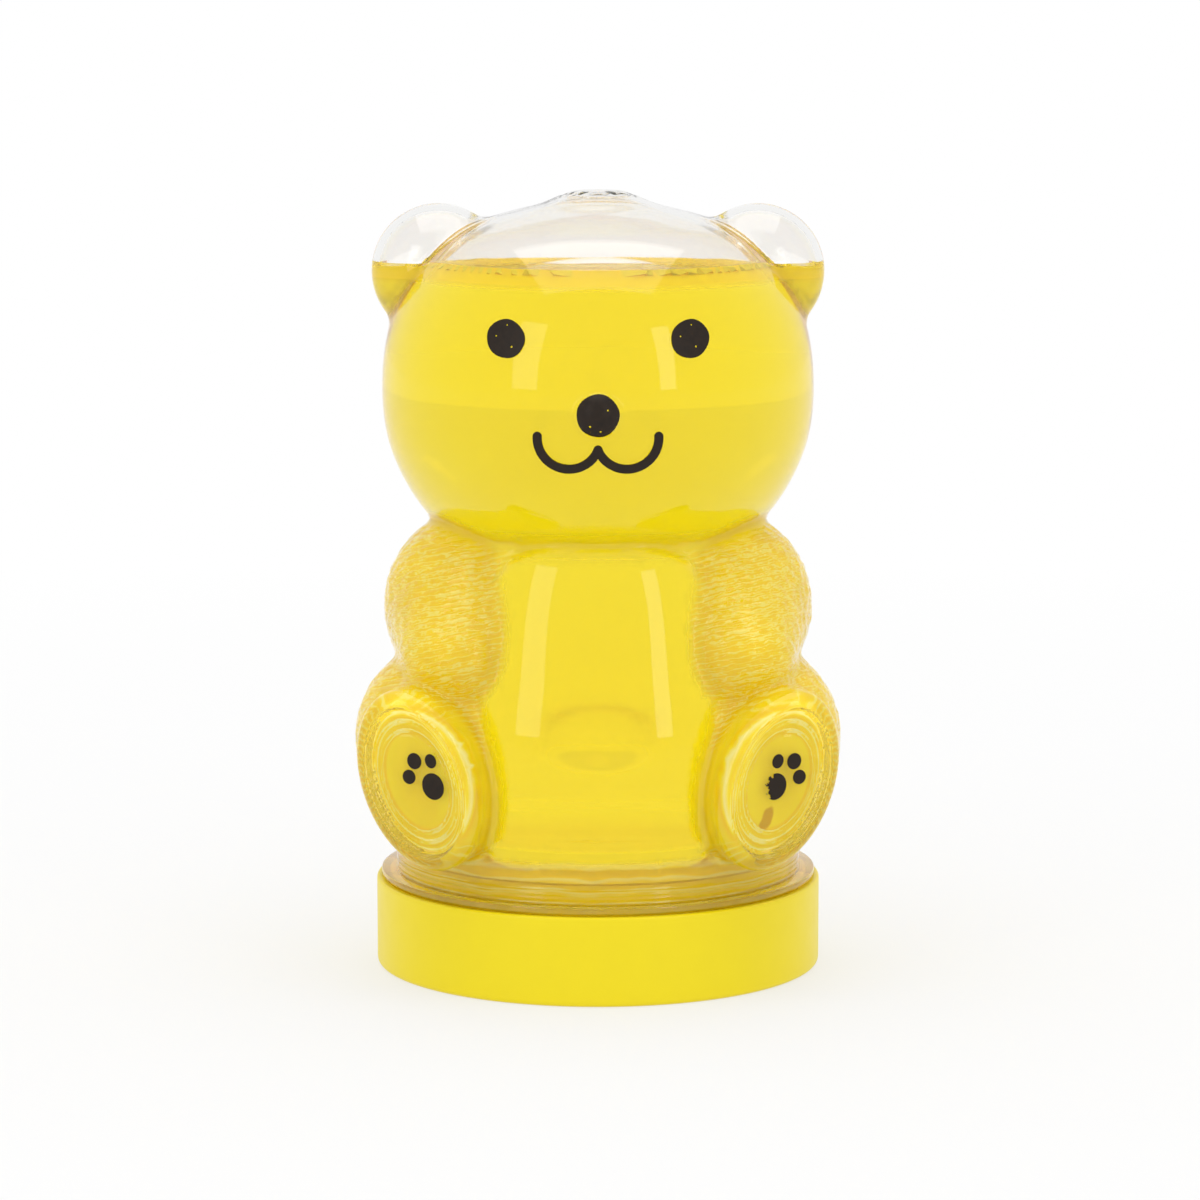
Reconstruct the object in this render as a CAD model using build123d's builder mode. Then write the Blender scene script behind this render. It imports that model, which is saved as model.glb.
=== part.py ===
from build123d import *

import os
from math import acos, cos, radians, sin, tan

# Clear bear-shaped honey jar that stands upside down on its wide screw cap.
# Millimetres, +Z up. The bear faces -Y. The origin is on the cap's axis, at its underside.

# Screw cap
cap_radius = 36.4
cap_height = 14.4
cap_floor = 1.8
cap_wall = 1.35
cap_edge_round = 0.7
cap_rim_bevel = 0.3

# Liner, a loose disc between the cap's floor and the jar's lip
liner_thickness = 0.9
liner_edge_gap = 0.5
seat_gap = 0.1

# Neck of the jar, from its lip up to the flange and on to the bear's seat
neck_wall = 1.8
neck_stretch = 4.4
flange_inset = 0.8
flange_thickness = 1.1
flange_gap = 0.3

# Thread that the jar's neck and the cap's skirt share
thread_lead = 4.233
thread_flank = 25
thread_room = 0.65
thread_play = 0.1
thread_bite = 0.3
jar_thread_depth = 1.4
jar_thread_width = 2.2
jar_thread_turns = 1.5
jar_thread_rise = 2.0
cap_thread_depth = 1.35
cap_thread_width = 1.9
cap_thread_turns = 1.25

# Blown wall of the jar, and what it holds
wall = 1.1
fill_gap = 0.06
fill_level_share = 0.60

# Torso: a round body whose outline is given in shares of its radius and half height
torso_overhang = 0.8
torso_half_height = 30.0
torso_outline_shares = (
    (0.93, -1.0),
    (0.975, -0.93),
    (0.995, -0.8),
    (1.0, -0.6),
    (0.978, -0.2),
    (0.93, 0.05),
    (0.873, 0.343),
    (0.8, 0.6),
    (0.7, 0.8),
)

# Head: outlined the same way, set above the torso's centre
head_radius = 35.05
head_half_height = 32.0
head_rise = 44.3
head_outline_shares = (
    (0.0, -1.0),
    (0.5, -0.87),
    (0.776, -0.653),
    (0.904, -0.45),
    (0.976, -0.244),
    (1.0, 0.0),
    (0.967, 0.3125),
    (0.893, 0.516),
    (0.735, 0.73),
    (0.508, 0.8625),
    (0.208, 0.959),
    (0.0, 1.0),
)

# Crown: the moulding ring at the top of the head
crown_ring_radius = 5.6
crown_ring_width = 0.9
crown_ring_depth = 0.35

# Ears, hollow discs with round fronts
ear_radius = 10.9
ear_half_depth = 8.2
ear_spread_share = 0.735
ear_rise_share = 0.595

# Arms, round shoulders that taper to the hands at the sides of the belly
shoulder_radius = 16.0
hand_radius = 8.6
shoulder_shares = (0.55, -0.215, 0.327)
hand_shares = (0.672, -0.62, 0.12)

# Legs, round thighs with oval stubs that splay outwards and lean outwards at the top
thigh_radius = 15.5
thigh_shares = (0.698, -0.385, -0.357)
leg_half_width = 9.6
leg_half_height = 14.8
leg_length = 32.0
leg_splay = 18
leg_lean = 20
sole_shares = (0.852, -1.0, -0.49)
sole_round = 2.4
sole_rim = 2.9
sole_dish_depth = 0.6

# Tail, a small ball at the back, low on the body
tail_radius = 4.0
tail_shares = (0.0, 0.93, -0.6)

# Belly panel, a smooth egg-shaped field that stands a little proud
panel_proud = 0.35
panel_outline_shares = (
    (0.0, 0.705),
    (0.25, 0.7),
    (0.42, 0.6),
    (0.545, 0.38),
    (0.63, 0.05),
    (0.66, -0.3),
    (0.6, -0.7),
    (0.42, -0.97),
    (0.0, -0.99),
)

# Printed ink: eyes, nose, mouth and paw prints, each a thin skin on the jar
ink = 0.15
ink_gap = 0.02
eye_radius = 2.96
eye_spread_share = 0.407
eye_rise_share = 0.325
nose_radius = 3.25
nose_bump_radius = 3.6
nose_bump_height = 1.9
nose_rise_share = -0.035
mouth_stroke = 1.42
mouth_end_shares = (0.272, -0.139)
mouth_low_shares = (0.125, -0.297)
mouth_cusp_share = -0.203
paw_pad_radii = (1.75, 2.15)
paw_toe_radii = ((1.05, 1.15), (1.15, 1.3), (0.9, 1.15))
paw_toe_places = ((3.3, 2.6), (1.6, 4.7), (-1.0, 3.9))
left_paw_shift = (-2.6, -1.5)
right_paw_shift = (-0.6, -0.9)

# Sizes and places that follow from those above
cap_bore = cap_radius - cap_wall
neck_radius = cap_bore - thread_room - jar_thread_depth
neck_bore = neck_radius - neck_wall
flange_radius = cap_radius - flange_inset
torso_radius = neck_radius + torso_overhang
lip_height = cap_floor + liner_thickness + 2 * seat_gap
flange_bottom = cap_height + flange_gap
flange_top = flange_bottom + flange_thickness
torso_bottom = flange_top + neck_stretch
torso_centre = torso_bottom + torso_half_height
head_centre = torso_centre + head_rise
head_top = head_centre + head_half_height
neck_overlap = neck_wall + wall
fill_level = head_centre + fill_level_share * head_half_height
reach = 2 * head_radius
flank_slope = tan(radians(thread_flank))
flank_offset = (
    jar_thread_width / 2
    + cap_thread_width / 2
    - flank_slope * (cap_bore - neck_radius)
    + thread_play
)
jar_thread_start = lip_height + jar_thread_rise
cap_thread_start = jar_thread_start + flank_offset


def outline(shares, radius, half_height, centre, inset):
    """Points of a round body's outline, drawn in by inset all round."""
    return [
        (across * (radius - inset), centre + along * (half_height - inset))
        for across, along in shares
    ]


def head_sketch(inset):
    """Half section of the head in the plane of X and Z."""
    points = outline(head_outline_shares, head_radius, head_half_height, head_centre, inset)
    with BuildSketch(Plane.XZ) as section:
        with BuildLine():
            Spline(*points, tangents=((1, 0), (-1, 0)))
            Line(points[-1], points[0])
        make_face()
    return section.sketch


def torso_sketch(inset):
    """Half section of the torso in the plane of X and Z."""
    points = outline(torso_outline_shares, torso_radius, torso_half_height, torso_centre, inset)
    foot = (0, points[0][1])
    crown = (0, points[-1][1])
    with BuildSketch(Plane.XZ) as section:
        with BuildLine():
            Line(foot, points[0])
            Spline(*points)
            Line(points[-1], crown)
            Line(crown, foot)
        make_face()
    return section.sketch


def torso_place(side, shares):
    """Point given in shares of the torso: outwards on one side, along Y, and up from its centre."""
    across, along, rise = shares
    return Vector(
        side * across * torso_radius,
        along * torso_radius,
        torso_centre + rise * torso_half_height,
    )


def ear_body(side, inset):
    """One ear: a flattened ball, its flat way along Y."""
    centre = (side * ear_spread_share * head_radius, 0, head_centre + ear_rise_share * head_half_height)
    with BuildPart() as ear:
        with BuildSketch(Plane(origin=centre, x_dir=(1, 0, 0), z_dir=(0, 0, 1))):
            Ellipse(ear_radius - inset, ear_half_depth - inset)
            split(bisect_by=Plane.YZ)
        revolve(axis=Axis(centre, (0, 1, 0)))
    return ear.part


def arm_body(side, inset):
    """One arm: a ball at the shoulder and a smaller one at the hand, joined by their common cone."""
    shoulder = torso_place(side, shoulder_shares)
    hand = torso_place(side, hand_shares)
    span = (hand - shoulder).length
    big = shoulder_radius - inset
    small = hand_radius - inset
    lean = acos((big - small) / span)
    big_end = (big * sin(lean), big * cos(lean))
    small_end = (small * sin(lean), span + small * cos(lean))
    small_side = (small * sin(lean / 2), span + small * cos(lean / 2))
    side_way = Vector(side, 0, 0).cross(hand - shoulder).normalized()
    with BuildPart() as arm:
        with BuildSketch(Plane(origin=shoulder, x_dir=side_way, z_dir=side_way.cross(hand - shoulder))):
            with BuildLine():
                ThreePointArc((0, -big), (big, 0), big_end)
                Line(big_end, small_end)
                ThreePointArc(small_end, small_side, (0, span + small))
                Line((0, span + small), (0, -big))
            make_face()
        revolve(axis=Axis(shoulder, hand - shoulder))
    return arm.part


def sole_plane(side, depth):
    """Plane of one sole, moved into the leg by depth. Its Y runs up the sole's long way."""
    turn = radians(leg_splay)
    lean = radians(leg_lean)
    forward = Vector(side * sin(turn), -cos(turn), 0)
    level = Vector(cos(turn), side * sin(turn), 0)
    upward = Vector(0, 0, 1)
    return Plane(
        origin=torso_place(side, sole_shares) - forward * depth,
        x_dir=level * cos(lean) - upward * (side * sin(lean)),
        z_dir=forward,
    )


def leg_body(side, inset, depth):
    """One leg: a round thigh and an oval stub with a round-edged sole, depth behind the outer sole."""
    with BuildPart() as leg:
        with BuildSketch(sole_plane(side, depth)):
            Ellipse(leg_half_width - inset, leg_half_height - inset)
        extrude(amount=depth + inset - leg_length)
        fillet(leg.edges().filter_by(GeomType.ELLIPSE).sort_by(Axis.Y)[0], sole_round)
        with Locations(torso_place(side, thigh_shares)):
            Sphere(thigh_radius - inset)
    return leg.part


def nose_bump(grow):
    """Round bump under the printed nose, grown by grow."""
    ball = (nose_bump_radius**2 + nose_bump_height**2) / (2 * nose_bump_height)
    centre = (0, ball - head_radius - nose_bump_height, head_centre + nose_rise_share * head_half_height)
    with BuildPart() as bump:
        with Locations(centre):
            Sphere(ball + grow)
    return bump.part


def bear_body(inset, sole_depth):
    """Head, ears, torso, arms, legs and tail as one closed solid, drawn in by inset."""
    with BuildPart() as body:
        with BuildSketch(Plane.XZ):
            add(torso_sketch(inset))
            add(head_sketch(inset))
        revolve(axis=Axis.Z)
        for side in (-1, 1):
            add(ear_body(side, inset))
        for side in (-1, 1):
            add(arm_body(side, inset))
        for side in (-1, 1):
            add(leg_body(side, inset, sole_depth))
        with Locations(torso_place(1, tail_shares)):
            Sphere(tail_radius - inset)
    return body.part


def thread_ridge(root_radius, tip_radius, root_width, start, turns):
    """Helical rib with sloping flanks, its root sunk a little into the wall that carries it."""
    outward = 1 if tip_radius > root_radius else -1
    depth = abs(tip_radius - root_radius)
    tip_half = root_width / 2 - flank_slope * depth
    sunk_half = root_width / 2 + flank_slope * thread_bite
    with BuildPart() as ridge:
        with BuildLine() as route:
            Helix(thread_lead, thread_lead * turns, root_radius, center=(0, 0, start))
        with BuildSketch(Plane(origin=route.line @ 0, x_dir=(outward, 0, 0), z_dir=route.line % 0)):
            Polygon(
                (-thread_bite, -sunk_half),
                (depth, -tip_half),
                (depth, tip_half),
                (-thread_bite, sunk_half),
                align=None,
            )
        sweep(path=route.line, is_frenet=True)
    return ridge.part


# Clear jar: the hollow bear with its neck, flange and thread
outer_bear = bear_body(0, 0)
inner_bear = bear_body(wall, wall + sole_dish_depth)
jar_thread = thread_ridge(
    neck_radius, neck_radius + jar_thread_depth, jar_thread_width, jar_thread_start, jar_thread_turns
)

with BuildPart() as panel_blank:
    with BuildSketch(Plane.XZ):
        add(torso_sketch(-panel_proud))
    revolve(axis=Axis.Z)
    with BuildSketch(Plane.XZ):
        with BuildLine():
            half = outline(panel_outline_shares, torso_radius, torso_half_height, torso_centre, 0)
            Spline(*half, tangents=((1, 0), (-1, 0)))
            Line(half[-1], half[0])
        make_face()
        mirror(about=Plane.YZ)
    extrude(amount=reach, mode=Mode.INTERSECT)

with BuildPart() as bear_jar:
    add(outer_bear)
    add(panel_blank.part)
    add(nose_bump(0))
    for side in (-1, 1):
        with BuildSketch(sole_plane(side, sole_dish_depth)):
            Ellipse(leg_half_width - sole_rim, leg_half_height - sole_rim)
        extrude(amount=reach, mode=Mode.SUBTRACT)
    with BuildSketch(Plane.XY.offset(lip_height)):
        Circle(neck_radius)
    extrude(amount=torso_bottom + neck_overlap - lip_height)
    with BuildSketch(Plane.XY.offset(flange_bottom)):
        Circle(flange_radius)
    extrude(amount=flange_thickness)
    add(jar_thread)
    add(inner_bear, mode=Mode.SUBTRACT)
    with BuildSketch(Plane.XY.offset(lip_height)):
        Circle(neck_bore)
    extrude(amount=torso_bottom + neck_overlap - lip_height, mode=Mode.SUBTRACT)
    with BuildSketch(Plane.XY.offset(head_top - crown_ring_depth)):
        Circle(crown_ring_radius + crown_ring_width / 2)
        Circle(crown_ring_radius - crown_ring_width / 2, mode=Mode.SUBTRACT)
    extrude(amount=reach, mode=Mode.SUBTRACT)

bear_jar.part.label = "bear_jar"

# Honey inside the jar, up to its level in the head and the ears
with BuildPart() as honey_fill:
    add(bear_body(wall + fill_gap, wall + sole_dish_depth + fill_gap))
    with BuildSketch(Plane.XY.offset(lip_height + fill_gap)):
        Circle(neck_bore - fill_gap)
    extrude(amount=torso_bottom + neck_overlap - lip_height)
    split(bisect_by=Plane.XY.offset(fill_level), keep=Keep.BOTTOM)

honey_fill.part.label = "honey_fill"

# Screw cap, its open side up
with BuildPart() as screw_cap:
    with BuildSketch():
        Circle(cap_radius)
    extrude(amount=cap_height)
    fillet(screw_cap.edges().filter_by(GeomType.CIRCLE).sort_by(Axis.Z)[0], cap_edge_round)
    with BuildSketch(Plane.XY.offset(cap_floor)):
        Circle(cap_bore)
    extrude(amount=cap_height, mode=Mode.SUBTRACT)
    chamfer(screw_cap.edges().filter_by(GeomType.CIRCLE).group_by(Axis.Z)[-1], cap_rim_bevel)
    add(thread_ridge(cap_bore, cap_bore - cap_thread_depth, cap_thread_width, cap_thread_start, cap_thread_turns))

screw_cap.part.label = "screw_cap"

# Liner disc
with BuildPart() as cap_liner:
    with BuildSketch(Plane.XY.offset(cap_floor + seat_gap)):
        Circle(cap_bore - liner_edge_gap)
    extrude(amount=liner_thickness)

cap_liner.part.label = "cap_liner"

# Printed skin that follows the head just off its surface, to cut the eyes and the mouth from
with BuildPart() as face_skin:
    with BuildSketch(Plane.XZ):
        add(head_sketch(-ink_gap - ink))
    revolve(axis=Axis.Z)
    with BuildSketch(Plane.XZ):
        add(head_sketch(-ink_gap))
    revolve(axis=Axis.Z, mode=Mode.SUBTRACT)


def eye_print(side):
    """One round eye."""
    with BuildPart() as eye:
        add(face_skin.part)
        with BuildSketch(Plane.XZ):
            with Locations((side * eye_spread_share * head_radius, head_centre + eye_rise_share * head_half_height)):
                Circle(eye_radius)
        extrude(amount=reach, mode=Mode.INTERSECT)
    return eye


left_eye = eye_print(-1)
left_eye.part.label = "left_eye"

right_eye = eye_print(1)
right_eye.part.label = "right_eye"

# Mouth: two half rings that meet in a point under the nose, with round ends
with BuildPart() as mouth:
    add(face_skin.part)
    with BuildSketch(Plane.XZ):
        with BuildLine():
            mouth_points = outline(
                (mouth_end_shares, mouth_low_shares, (0, mouth_cusp_share)),
                head_radius,
                head_half_height,
                head_centre,
                0,
            )
            ThreePointArc(*mouth_points)
            mirror(about=Plane.YZ)
        trace(line_width=mouth_stroke)
        with Locations(mouth_points[0], mouth_points[-1]):
            Circle(mouth_stroke / 2)
        mirror(about=Plane.YZ)
    extrude(amount=reach, mode=Mode.INTERSECT)

mouth.part.label = "mouth"

# Nose: a round cap of ink over the bump
with BuildPart() as nose:
    add(nose_bump(ink_gap + ink))
    add(nose_bump(ink_gap), mode=Mode.SUBTRACT)
    with BuildSketch(Plane.XZ):
        add(head_sketch(-ink_gap))
    revolve(axis=Axis.Z, mode=Mode.SUBTRACT)
    with BuildSketch(Plane.XZ):
        with Locations((0, head_centre + nose_rise_share * head_half_height)):
            Circle(nose_radius)
    extrude(amount=reach, mode=Mode.INTERSECT)

nose.part.label = "nose"


def paw_print(side, shift):
    """Pad and toes on the dished sole. Shift is the pad's place, outwards and up from the sole's centre."""
    out, up = shift
    with BuildPart() as paw:
        with BuildSketch(sole_plane(side, sole_dish_depth - ink_gap)):
            with Locations((side * out, up)):
                Ellipse(*paw_pad_radii)
            for (toe_out, toe_up), radii in zip(paw_toe_places, paw_toe_radii):
                with Locations((side * (out + toe_out), up + toe_up)):
                    Ellipse(*radii)
        extrude(amount=ink)
    return paw


left_paw_print = paw_print(-1, left_paw_shift)
left_paw_print.part.label = "left_paw_print"

right_paw_print = paw_print(1, right_paw_shift)
right_paw_print.part.label = "right_paw_print"

pieces = (
    bear_jar,
    honey_fill,
    screw_cap,
    cap_liner,
    left_eye,
    right_eye,
    nose,
    mouth,
    left_paw_print,
    right_paw_print,
)
os.makedirs("parts", exist_ok=True)
for piece in pieces:
    export_step(piece.part, f"parts/{piece.part.label}.step")
    print(piece.part.label, piece.part.is_valid, len(piece.part.solids()), round(piece.part.volume, 1))
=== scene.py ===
import logging
from dataclasses import dataclass, field
from enum import Enum
from math import cos, hypot, pi, radians, sin, tan
from typing import Callable, Sequence

import bpy
import numpy as np
from mathutils import Matrix, Vector


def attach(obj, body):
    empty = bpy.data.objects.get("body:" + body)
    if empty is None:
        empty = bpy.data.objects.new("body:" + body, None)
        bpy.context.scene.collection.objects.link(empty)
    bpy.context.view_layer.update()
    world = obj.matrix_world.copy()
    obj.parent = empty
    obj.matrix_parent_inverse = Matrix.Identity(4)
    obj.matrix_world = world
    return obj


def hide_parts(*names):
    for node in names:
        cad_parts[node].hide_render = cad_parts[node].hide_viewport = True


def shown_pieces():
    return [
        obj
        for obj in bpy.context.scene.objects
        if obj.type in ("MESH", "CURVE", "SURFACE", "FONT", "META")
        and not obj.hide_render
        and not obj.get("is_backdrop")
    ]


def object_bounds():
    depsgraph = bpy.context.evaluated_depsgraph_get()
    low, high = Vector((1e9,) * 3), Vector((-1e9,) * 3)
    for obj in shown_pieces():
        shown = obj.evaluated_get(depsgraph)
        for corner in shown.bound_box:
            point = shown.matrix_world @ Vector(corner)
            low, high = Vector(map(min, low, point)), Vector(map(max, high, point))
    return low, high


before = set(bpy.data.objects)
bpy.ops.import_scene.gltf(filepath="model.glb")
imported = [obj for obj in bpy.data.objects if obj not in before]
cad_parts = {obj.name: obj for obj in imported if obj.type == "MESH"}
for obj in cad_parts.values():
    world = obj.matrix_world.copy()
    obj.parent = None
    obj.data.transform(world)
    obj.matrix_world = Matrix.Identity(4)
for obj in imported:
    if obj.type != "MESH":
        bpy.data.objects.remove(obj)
cad_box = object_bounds()

# Looks of the clear bear-shaped honey jar. Lengths in the classes are millimetres, and every
# finished mesh is in metres, in the CAD frame: +Z up, the bear faces -Y.

log = logging.getLogger("honey_bear")
Points = np.ndarray
Values = np.ndarray
Item = bpy.types.Object
Material = bpy.types.Material
Field = Callable[[Points], Values]
Stencil = Callable[[Values, Values], Values]
Section = Sequence[tuple[float, float]]
Place = tuple[float, float, float]
Colour = tuple[float, float, float, float]

MM = 0.001
WHITE: Colour = (1, 1, 1, 1)
NECK = 33.0  # Radius of the neck's outside wall.
SEAM = 19.0  # Height where the turned neck meets the body.
SEAM_GAP = 0.45  # Height left open below the seam and then bridged.
SLICES = 192  # Slices round the neck.

# Fine oval ridges of the soles: share of the way out to the sole's edge, and height from 0 to 1.
RIDGES = (
    (0.0, 0.5), (0.50, 0.5), (0.53, 0.0), (0.56, 1.0), (0.59, 0.2), (0.635, 0.3), (0.665, 1.0), (0.70, 0.0),
    (0.74, 0.3), (0.775, 1.0), (0.80, 0.0), (0.83, 0.5),
)
# Painted shade and painted highlight for the neck's fine rings, laid in the honey's colour: share of the way
# up, and tone from dark shade at 0 to pale highlight at 1.
RINGS = (
    (0.0, 0.4), (0.14, 0.75), (0.18, 0.25), (0.25, 0.5), (0.30, 0.8), (0.34, 0.3), (0.42, 0.5),
    (0.46, 0.85), (0.50, 0.3), (0.58, 0.45), (0.62, 0.95), (0.68, 0.9), (0.72, 0.35), (0.80, 0.5),
)


class Primitive(Enum):
    """Primitives that pieces start from."""

    BALL = "uv_sphere"
    DRUM = "cylinder"
    PLANE = "plane"
    GRID = "grid"


class Part(Enum):
    """What can be selected of a mesh."""

    CORNERS = "vertices"
    EDGES = "edges"
    FACES = "polygons"


class Bench:
    """The modelling operators, each run on a clean selection."""

    @staticmethod
    def clear() -> None:
        """Deselect every object."""
        for item in list(bpy.context.selected_objects):
            item.select_set(False)

    @staticmethod
    def pick(*items: Item) -> None:
        """Select only these objects, the first one active."""
        Bench.clear()
        for item in items:
            item.select_set(True)
        bpy.context.view_layer.objects.active = items[0]

    @staticmethod
    def start(kind: Primitive, name: str, place: Matrix | None = None, **settings) -> Item:
        """Add a primitive and apply its place to its mesh.

        Args:
            kind: Which primitive.
            name: Name of the object and of its mesh.
            place: Where it goes, in millimetres, or None for the origin.
            settings: The operator's own settings, lengths in millimetres.

        Returns:
            The new object.
        """
        Bench.clear()
        getattr(bpy.ops.mesh, f"primitive_{kind.value}_add")(**settings)
        item = bpy.context.object
        item.name = item.data.name = name
        item.matrix_world = Matrix.Scale(MM, 4) @ (place or Matrix.Identity(4))
        bpy.ops.object.transform_apply(location=True, rotation=True, scale=True)
        return item

    @staticmethod
    def edit(item: Item) -> None:
        """Enter edit mode on one object, with all of it selected."""
        Bench.pick(item)
        bpy.ops.object.mode_set(mode="EDIT")
        bpy.ops.mesh.select_all(action="SELECT")

    @staticmethod
    def edit_some(item: Item, marks: Values, part: Part) -> None:
        """Enter edit mode with only the marked vertices, edges or faces selected."""
        Bench.pick(item)
        bpy.context.tool_settings.mesh_select_mode = tuple(kind is part for kind in Part)
        for kind in Part:
            items = getattr(item.data, kind.value)
            items.foreach_set("select", marks if kind is part else np.zeros(len(items), bool))
        bpy.ops.object.mode_set(mode="EDIT")

    @staticmethod
    def done() -> None:
        """Leave edit mode, and let it select vertices the next time."""
        bpy.ops.object.mode_set(mode="OBJECT")
        bpy.context.tool_settings.mesh_select_mode = (True, False, False)

    @staticmethod
    def face_outwards(item: Item) -> None:
        """Make the faces of a closed mesh point outwards."""
        Bench.edit(item)
        bpy.ops.mesh.normals_make_consistent(inside=False)
        Bench.done()

    @staticmethod
    def modify(item: Item, kind: str, **settings) -> None:
        """Add one modifier with its settings and apply it."""
        Bench.pick(item)
        modifier = item.modifiers.new(kind.title(), kind)
        for name, value in settings.items():
            setattr(modifier, name, value)
        bpy.ops.object.modifier_apply(modifier=modifier.name)

    @staticmethod
    def join(items: Sequence[Item]) -> Item:
        """Join objects into the first one."""
        Bench.pick(*items)
        bpy.ops.object.join()
        return items[0]

    @staticmethod
    def copy(item: Item, name: str) -> Item:
        """Copy an object together with its mesh."""
        twin = item.copy()
        twin.data = item.data.copy()
        twin.name = twin.data.name = name
        bpy.context.collection.objects.link(twin)
        return twin

    @staticmethod
    def coat(item: Item, *materials: Material) -> None:
        """Give an object these materials in place of what it has."""
        item.data.materials.clear()
        for material in materials:
            item.data.materials.append(material)

    @staticmethod
    def numbers(items: bpy.types.bpy_prop_collection, name: str, kind: type = float, width: int = 1) -> Values:
        """Read a number of every item, or a row of them where width is above 1."""
        flat = np.empty(width * len(items), kind)
        items.foreach_get(name, flat)
        return flat.reshape(-1, width) if width > 1 else flat

    @staticmethod
    def read(item: Item) -> Points:
        """Vertex places in millimetres."""
        return Bench.numbers(item.data.vertices, "co", width=3) / MM

    @staticmethod
    def write(item: Item, places: Points) -> None:
        """Set the vertex places, given in millimetres."""
        item.data.vertices.foreach_set("co", (places * MM).ravel())
        item.data.update()

    @staticmethod
    def lathe(name: str, section: Section, steps: int) -> Item:
        """Draw a half section point by point and spin it about the upright axis.

        Args:
            name: Name of the new object.
            section: Radius and height of each point, in order.
            steps: How many slices go round.

        Returns:
            The spun object, merged, with faces that point outwards.
        """
        item = Bench.start(Primitive.PLANE, name, size=1)
        Bench.edit(item)
        bpy.ops.mesh.merge(type="CENTER")
        bpy.ops.transform.translate(value=(section[0][0] * MM, 0, section[0][1] * MM))
        for (r0, z0), (r1, z1) in zip(section, section[1:]):
            bpy.ops.mesh.extrude_region_move(
                TRANSFORM_OT_translate={"value": ((r1 - r0) * MM, 0, (z1 - z0) * MM)}
            )
        bpy.ops.mesh.select_all(action="SELECT")
        bpy.ops.mesh.spin(steps=steps, angle=2 * pi, center=(0, 0, 0), axis=(0, 0, 1))
        bpy.ops.mesh.select_all(action="SELECT")
        bpy.ops.mesh.remove_doubles(threshold=0.002 * MM)
        bpy.ops.mesh.normals_make_consistent(inside=False)
        Bench.done()
        return item

    @staticmethod
    def cut(item: Item, height: float, below: bool = False, above: bool = False, cap: bool = False) -> None:
        """Cut a mesh at a height in millimetres, drop what lies below or above, and cap it where asked."""
        Bench.edit(item)
        bpy.ops.mesh.bisect(
            plane_co=(0, 0, height * MM),
            plane_no=(0, 0, 1),
            use_fill=cap,
            clear_inner=below,
            clear_outer=above,
            threshold=1e-7,
        )
        Bench.done()

    @staticmethod
    def bridge(item: Item, low: float, high: float) -> None:
        """Close the seam between two open loops whose radius lies between low and high."""
        edges = Bench.numbers(item.data.edges, "vertices", int, 2)
        uses = np.bincount(Bench.numbers(item.data.loops, "edge_index", int), minlength=len(edges))
        middle = Bench.read(item)[edges].mean(axis=1)
        radius = np.hypot(middle[:, 0], middle[:, 1])
        near = (np.abs(middle[:, 2] - SEAM) < 1.0) & (radius > low) & (radius < high)
        Bench.edit_some(item, (uses == 1) & near, Part.EDGES)
        bpy.ops.mesh.bridge_edge_loops()
        Bench.done()

    @staticmethod
    def smooth(item: Item, angle: float) -> None:
        """Shade smooth, with edges sharper than the angle in degrees left sharp."""
        Bench.pick(item)
        bpy.ops.object.shade_smooth_by_angle(angle=radians(angle))


def rise(values: Values, low: float, high: float) -> Values:
    """Smooth step from 0 at low to 1 at high."""
    share = np.clip((values - low) / (high - low), 0, 1)
    return share * share * (3 - 2 * share)


def blend(first: Values, second: Values, width: float) -> Values:
    """Union of two distances with a soft crease of about this width."""
    share = np.clip(0.5 + 0.5 * (second - first) / width, 0, 1)
    return second + (first - second) * share - width * share * (1 - share)


def slope(shape: Field, at: Points, step: float = 0.03) -> Points:
    """Gradient of a distance by central differences."""
    parts = []
    for axis in range(3):
        move = np.zeros(3)
        move[axis] = step
        parts.append((shape(at + move) - shape(at - move)) / (2 * step))
    return np.stack(parts, axis=1)


def settle(item: Item, shape: Field, rounds: int = 4, reach: float = 1.5) -> None:
    """Move every vertex onto the surface where the distance is zero, by reach at most in each round."""
    at = Bench.read(item)
    for _ in range(rounds):
        away = shape(at)
        way = slope(shape, at)
        step = away / np.maximum((way * way).sum(axis=1), 0.2)
        at -= way * np.clip(step, -reach, reach)[:, None]
    Bench.write(item, at)


class SmoothLine:
    """A natural cubic line through given points, kept as a fine table."""

    rows = 1500

    def __init__(self, places: Sequence[float], values: Sequence[float], level_ends: bool = False) -> None:
        """Fit the line, with level ends where asked."""
        x = np.asarray(places, float)
        y = np.asarray(values, float)
        gap = np.diff(x)
        count = len(x)
        system = np.eye(count)
        right = np.zeros(count)
        for k in range(1, count - 1):
            system[k, k - 1:k + 2] = gap[k - 1], 2 * (gap[k - 1] + gap[k]), gap[k]
            right[k] = 6 * ((y[k + 1] - y[k]) / gap[k] - (y[k] - y[k - 1]) / gap[k - 1])
        if level_ends:
            system[0, :2] = 2 * gap[0], gap[0]
            right[0] = 6 * (y[1] - y[0]) / gap[0]
            system[-1, -2:] = gap[-1], 2 * gap[-1]
            right[-1] = -6 * (y[-1] - y[-2]) / gap[-1]
        bend = np.linalg.solve(system, right)
        self.x = np.linspace(x[0], x[-1], self.rows)
        k = np.clip(np.searchsorted(x, self.x, side="right") - 1, 0, count - 2)
        low, high = self.x - x[k], x[k + 1] - self.x
        self.y = (
            bend[k] * high**3 / (6 * gap[k])
            + bend[k + 1] * low**3 / (6 * gap[k])
            + (y[k] / gap[k] - bend[k] * gap[k] / 6) * high
            + (y[k + 1] / gap[k] - bend[k + 1] * gap[k] / 6) * low
        )
        self.dy = np.gradient(self.y, self.x)

    def __call__(self, at: Values) -> Values:
        """Value of the line."""
        return np.interp(at, self.x, self.y)

    def lean(self, at: Values) -> Values:
        """Slope of the line."""
        return np.interp(at, self.x, self.dy)


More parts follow.
